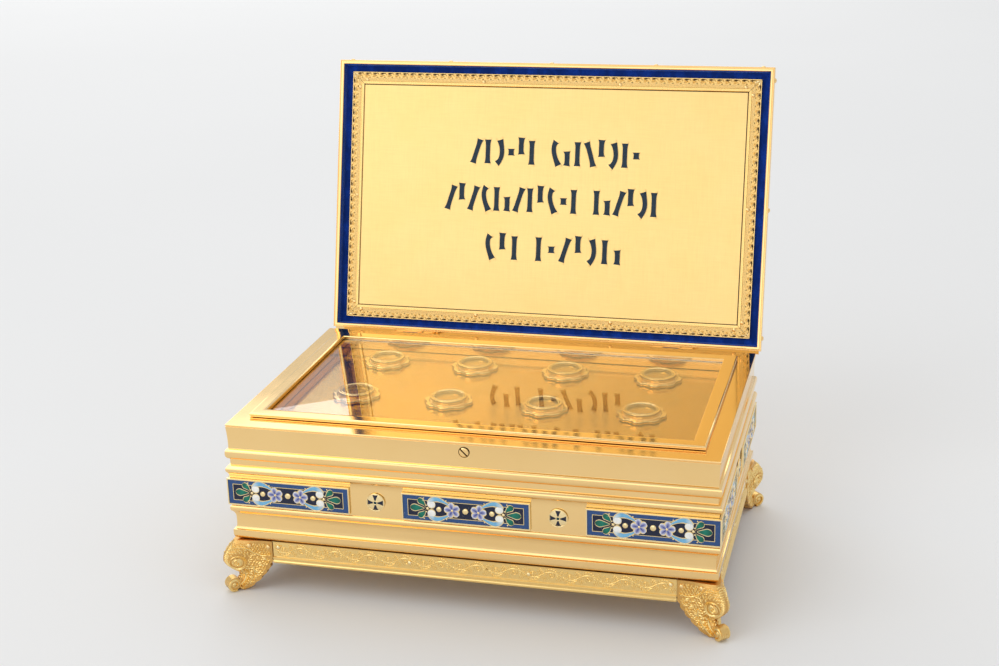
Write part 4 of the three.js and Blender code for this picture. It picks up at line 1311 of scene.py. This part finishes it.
def toe_scroll():
    """The rolled toe: a ribbon that rises round the roll from below and curls into its eye, with a fluted back."""
    sections, turns, steps = [], 1.6, 44
    for i in range(steps + 1):
        t = i / steps
        angle = -math.pi / 2 - 0.35 + TAU * turns * t
        radius = TOE_RADIUS - 4.2 * t ** 0.9
        thick = 1.55 * (1 - 0.45 * t)
        half = 3.35 + 0.35 * math.sin(math.pi * min(1, t * 1.6)) + 0.25 * t
        near, far = radius - thick, radius
        profile = [(near, -half), (far - 0.35, -half), (far, -half + 0.35)]
        profile += [(far - (0.32 if k % 2 else 0.0), -half + 0.35 + (2 * half - 0.7) * k / 8) for k in range(1, 8)]
        profile += [(far, half - 0.35), (far - 0.35, half), (near, half)]
        sections.append([(r * math.cos(angle), w, r * math.sin(angle)) for r, w in profile])
    return loft(sections)


def foot():
    """One corner foot: a bracket that swells to a knee and tucks in to a rolled toe, covered with chased foliage."""
    noise.seed_set(FOLIAGE_SEED)
    heights = [FOOT_TOP, 34.1] + [33.8 - 33.5 * i / 62 for i in range(63)]
    # Painted shade: the bracket's ground between the foliage gets a tint of 0.3, so the cast gilt darkens it as though
    # shaded.
    work = Casting().add(loft([foot_plan(z) for z in heights]), tint=(0.3, 0.3, 0.3))
    eye_a, eye_z, skin = 2.6, 20.2, -0.1
    from_eye = lambda r, angle: (eye_a + r * math.cos(angle), eye_z + r * math.sin(angle))
    for mirrored in (False, True):
        place = on_flank(mirrored)
        put = lambda shape, tint=1.0: work.add(shape, tint=(tint, tint, tint), place=place)
        # rosette: a low boss inside two rings, with a half leaf curling in it
        # The boss gets a little painted shade, a tint of 0.85.
        put(dome(eye_a, eye_z, 3.3, 0.55, skin, 20, ((1, 0), (0.8, 0.55), (0.45, 0.9))), 0.85)
        put(ridge(curl(eye_a, eye_z, 5.1, 3.9, 250, 1.6, 40), lambda t: 0.52 - 0.15 * t, 0.8, skin))
        put(ridge(curl(eye_a, eye_z, 2.9, 0.5, 70, 0.9, 14), lambda t: 0.5 - 0.25 * t, 0.75, 0.35))
        for i in range(4):
            angle = math.radians(100 + 38 * i)
            knee = (eye_a + 1.5 * math.cos(angle), eye_z + 1.4 * math.sin(angle))
            put(leaf(from_eye(0.5, angle), knee, from_eye(2.7, angle + 0.4), 0.4, 0.5, 0.4, 4))
        # stems: one up from the toe and round the rosette, one across the shoulder, one down the inner edge
        put(ridge(bow((11.4, 17.4), (13.2, 9.4), (3.4, 1.8), 18), lambda t: 0.95 - 0.3 * t, 0.95, skin))
        put(ridge(bow((3.2, 14.0), (8.6, 9.2), (1.6, 3.4), 14), lambda t: 1.15 - 0.3 * t, 0.9, skin))
        put(ridge(bow((6.6, 15.0), (10.6, 9.4), (2.4, 2.6), 14), 0.3, 1.1, skin))
        put(ridge(bow((-1.5, 28.6), (5.6, 33.0), (11.6, 26.4), 16), lambda t: 0.4 + 0.3 * t, 0.85, skin))
        put(ridge(bow((11.6, 26.4), (17.5, 22.6), (23.0, 26.2), 12), lambda t: 0.6 - 0.25 * t, 0.85, skin))
        # scalloped lobes down the inner edge
        for i in range(5):
            z = 21.6 - i * 22.4 / 5
            run = edge_run(z - 2.3) - 0.5
            put(ridge(curl(run - 2.3, z - 0.6, 2.1, 1.5, 20, -0.62, 9), lambda t: 0.4 - 0.15 * t, 0.7, skin))
            put(leaf((run - 5.4, z + 1.6), (run - 3.2, z + 1.2), (run - 1.2, z - 1.2), 0.8, 0.7, skin, 6))
        # small chased leaflets that swirl out from the rosette and cover the rest
        for tier in range(21):
            z = 33.3 - tier * 1.5
            for column in range(16):
                a = -3.2 + 1.8 * (column + 0.5 * (tier % 2))
                shift = noise.noise_vector(Vector((a * 0.9, z * 0.9, 4.0)))
                x, y = a + 0.7 * shift.x, z + 0.6 * shift.y
                in_rosette = math.hypot(x - eye_a, y - eye_z) < 6.3
                past_edge = x > min(edge_run(y), 24.0) - 1.5 or x < -0.8 * knee_out(y) + 0.8
                if in_rosette or past_edge or y > 33.4 or y < 3.2:
                    continue
                angle = math.atan2(y - eye_z, x - eye_a) + 0.95 + 1.5 * shift.z
                reach = 1.15 + 0.45 * abs(shift.x)
                tip = (x + reach * math.cos(angle), y + reach * math.sin(angle))
                root = (x - reach * math.cos(angle - 0.55), y - reach * math.sin(angle - 0.55))
                if tip[1] < 34.0 and tip[0] < min(edge_run(tip[1]), 24.0) - 0.5:
                    put(leaf(root, (x, y), tip, 0.62, 0.62 + 0.2 * abs(shift.y), -0.12, 5))
    # flutes wrapped over the corner ridge
    for i in range(22):
        z = 33.2 - i * 1.02
        sections = []
        for j in range(9):
            s = -1 + j / 4
            level = z - 1.5 * s * s
            near, far = knee_out(level) + 0.1, knee_out(level) - CHAMFER - 1.5
            x, y = bow((near, far), (near - 0.05, near - 0.05), (far, near), 8)[j]
            outward = Vector((1.0 - 0.35 * s, 1.0 + 0.35 * s, 0)).normalized()
            swell = 0.42 * (1 - 0.75 * abs(s) ** 3)
            sections.append([(x + outward.x * h, y + outward.y * h, level + d) for d, h in
                             ((-0.5, -0.5), (-0.38, swell * 0.4), (0, swell), (0.38, swell * 0.4), (0.5, -0.5))])
        work.add(loft(sections))
    # toe
    diagonal = lambda d, w, z: ((TOE_OUT + d - w) / math.sqrt(2), (TOE_OUT + d + w) / math.sqrt(2), z + TOE_RADIUS)
    work.add(toe_scroll(), place=diagonal)
    core = [[(4.3 * k * math.cos(TAU * i / 28), w, 4.3 * k * math.sin(TAU * i / 28)) for i in range(28)]
            for k, w in ((0.9, -2.95), (1, -2.8), (1, 2.8), (0.9, 2.95))]
    # Painted shade: the core inside the roll gets a tint of 0.45.
    work.add(loft(core), tint=(0.45, 0.45, 0.45), place=diagonal)
    for side in (-1, 1):
        work.add(dome(0, 0, 1.25, 0.9, 0, 14), place=lambda x, y, h, k=side: diagonal(x, k * (2.9 + h), y))
    return work


class CASKET_OT_feet(bpy.types.Operator):
    """Makes the four cast corner feet and their nails"""

    bl_idname = "casket.feet"
    bl_label = "Corner feet"

    def execute(self, context):
        relief = context.scene.casket_relief
        unit, marks = foot(), []
        for name, sx, sy in (("front_left", -1, -1), ("front_right", 1, -1),
                             ("back_left", -1, 1), ("back_right", 1, 1)):
            stand = lambda x, y, z: in_case(sx * (HALF_X + x), sy * (HALF_Y + y), z)
            Casting().add_casting(unit, stand).piece(f"scroll_foot_{name}", "case", [finish("cast")], "cast_gilt",
                                                     [f"foot_{name}"], 50)
            for mirrored in (False, True):
                flank = on_flank(mirrored)
                place = lambda *spot: stand(*flank(*spot))
                marks += [nail_mark(place, a, z, 0.3) for a, z in ((9.8, 31.4), (21.6, 30.6))]
        studs("foot_nails", "case", marks, relief.nail / MM, 0.8, finish("polished"))
        return {"FINISHED"}


# ------------------------------------------------------------------ stage
CAMERA = Vector((248.5, -939.3 + CENTRE_Y, 479.1)) * MM
LOOK_AZIMUTH, LOOK_DOWN, ROLL, FOCAL_LENGTH = math.radians(14.88), math.radians(18.85), math.radians(-1.52), 59.0
FLOOR_REACH = 14.0


def soft_light(name, place, target, size, power):
    light = bpy.data.lights.new(name, "AREA")
    light.shape, light.size, light.size_y = "RECTANGLE", *size
    light.energy = power
    lamp = bpy.data.objects.new(name, light)
    bpy.context.scene.collection.objects.link(lamp)
    lamp.location = place
    lamp.rotation_euler = (Vector(target) - Vector(place)).to_track_quat("-Z", "Y").to_euler()


class CASKET_OT_stage(bpy.types.Operator):
    """Lays the pale floor, hangs the soft lights and sets the camera"""

    bl_idname = "casket.stage"
    bl_label = "Stage"

    def execute(self, context):
        props, scene = context.scene.casket_stage, context.scene
        mesh = bpy.data.meshes.new("floor")
        corners = [(FLOOR_REACH * x, FLOOR_REACH * y, 0) for x, y in ((-1, -1), (1, -1), (1, 1), (-1, 1))]
        mesh.from_pydata(corners, [], [(0, 1, 2, 3)])
        paper = Finish("floor paper", Roughness=0.9, Specular_IOR_Level=0.1)
        fleck = paper.cloud(900, 2).step(0.3, 0.7)
        paper.set("Base Color", paper.blend(fleck, props.floor, toned(props.floor, 0.985)))
        mesh.materials.append(paper.material)
        floor = bpy.data.objects.new("floor", mesh)
        scene.collection.objects.link(floor)
        world = bpy.data.worlds.new("white surroundings")
        world.use_nodes = True
        background = world.node_tree.nodes["Background"].inputs
        background["Color"].default_value, background["Strength"].default_value = (0.96, 0.97, 0.985, 1), props.fill
        scene.world = world
        soft_light("key", (-1.5, -1.6, 2.0), (0, 0, 0.1), (1.8, 1.8), props.key)
        soft_light("front", (-0.5, -2.6, 0.75), (0, 0, 0.15), (2.6, 1.2), props.key * 0.52)
        soft_light("top", (0.2, 0.4, 2.4), (0, 0, 0.1), (2.4, 2.0), props.key * 0.5)
        soft_light("back", (-1.6, 3.6, 2.6), (-1.2, 3.0, 0), (4.0, 3.0), props.key * 3.4)
        camera = bpy.data.cameras.new("camera")
        camera.lens, camera.sensor_width, camera.clip_end = FOCAL_LENGTH, 36.0, 100
        viewer = bpy.data.objects.new("camera", camera)
        scene.collection.objects.link(viewer)
        level = math.cos(LOOK_DOWN)
        ahead = Vector((-math.sin(LOOK_AZIMUTH) * level, math.cos(LOOK_AZIMUTH) * level, -math.sin(LOOK_DOWN)))
        right = Vector((math.cos(LOOK_AZIMUTH), math.sin(LOOK_AZIMUTH), 0))
        up = right.cross(ahead)
        right, up = right * math.cos(ROLL) + up * math.sin(ROLL), up * math.cos(ROLL) - right * math.sin(ROLL)
        turn = Matrix((right, up, -ahead)).transposed()
        viewer.matrix_world = Matrix.Translation(CAMERA) @ turn.to_4x4()
        scene.camera = viewer
        scene.view_settings.view_transform = "Standard"
        return {"FINISHED"}


class CASKET_PT_panel(bpy.types.Panel):
    """Lists the casket's pieces and what can be changed on them"""

    bl_idname = "CASKET_PT_panel"
    bl_label = "Reliquary casket"
    bl_space_type = "VIEW_3D"
    bl_region_type = "UI"
    bl_category = "Casket"

    def draw(self, context):
        for operator in OPERATORS:
            self.layout.operator(operator.bl_idname)
        for group in PROPERTY_GROUPS:
            box = self.layout.box()
            box.label(text=group.replace("_", " ").capitalize())
            props = getattr(context.scene, group)
            for key in props.bl_rna.properties.keys():
                if key not in ("rna_type", "name"):
                    box.prop(props, key)


OPERATORS = (
    CASKET_OT_metalwork, CASKET_OT_studs, CASKET_OT_capsules, CASKET_OT_velvet, CASKET_OT_inscription,
    CASKET_OT_lid_border, CASKET_OT_plaques, CASKET_OT_bosses, CASKET_OT_aprons, CASKET_OT_feet, CASKET_OT_stage,
)
PROPERTY_GROUPS = {"casket_gilding": CasketGilding, "casket_enamel": CasketEnamel, "casket_relief": CasketRelief,
                   "casket_stage": CasketStage}


def register():
    for kind in (*PROPERTY_GROUPS.values(), *OPERATORS, CASKET_PT_panel):
        bpy.utils.register_class(kind)
    for name, kind in PROPERTY_GROUPS.items():
        setattr(bpy.types.Scene, name, PointerProperty(type=kind))


def unregister():
    for name in PROPERTY_GROUPS:
        delattr(bpy.types.Scene, name)
    for kind in (CASKET_PT_panel, *reversed(OPERATORS), *reversed(PROPERTY_GROUPS.values())):
        bpy.utils.unregister_class(kind)


def main():
    register()
    TREES.update(row=row_tree(), stud=stud_tree())
    for operator in OPERATORS:
        group, name = operator.bl_idname.split(".")
        getattr(getattr(bpy.ops, group), name)()


if __name__ == "__main__":
    main()
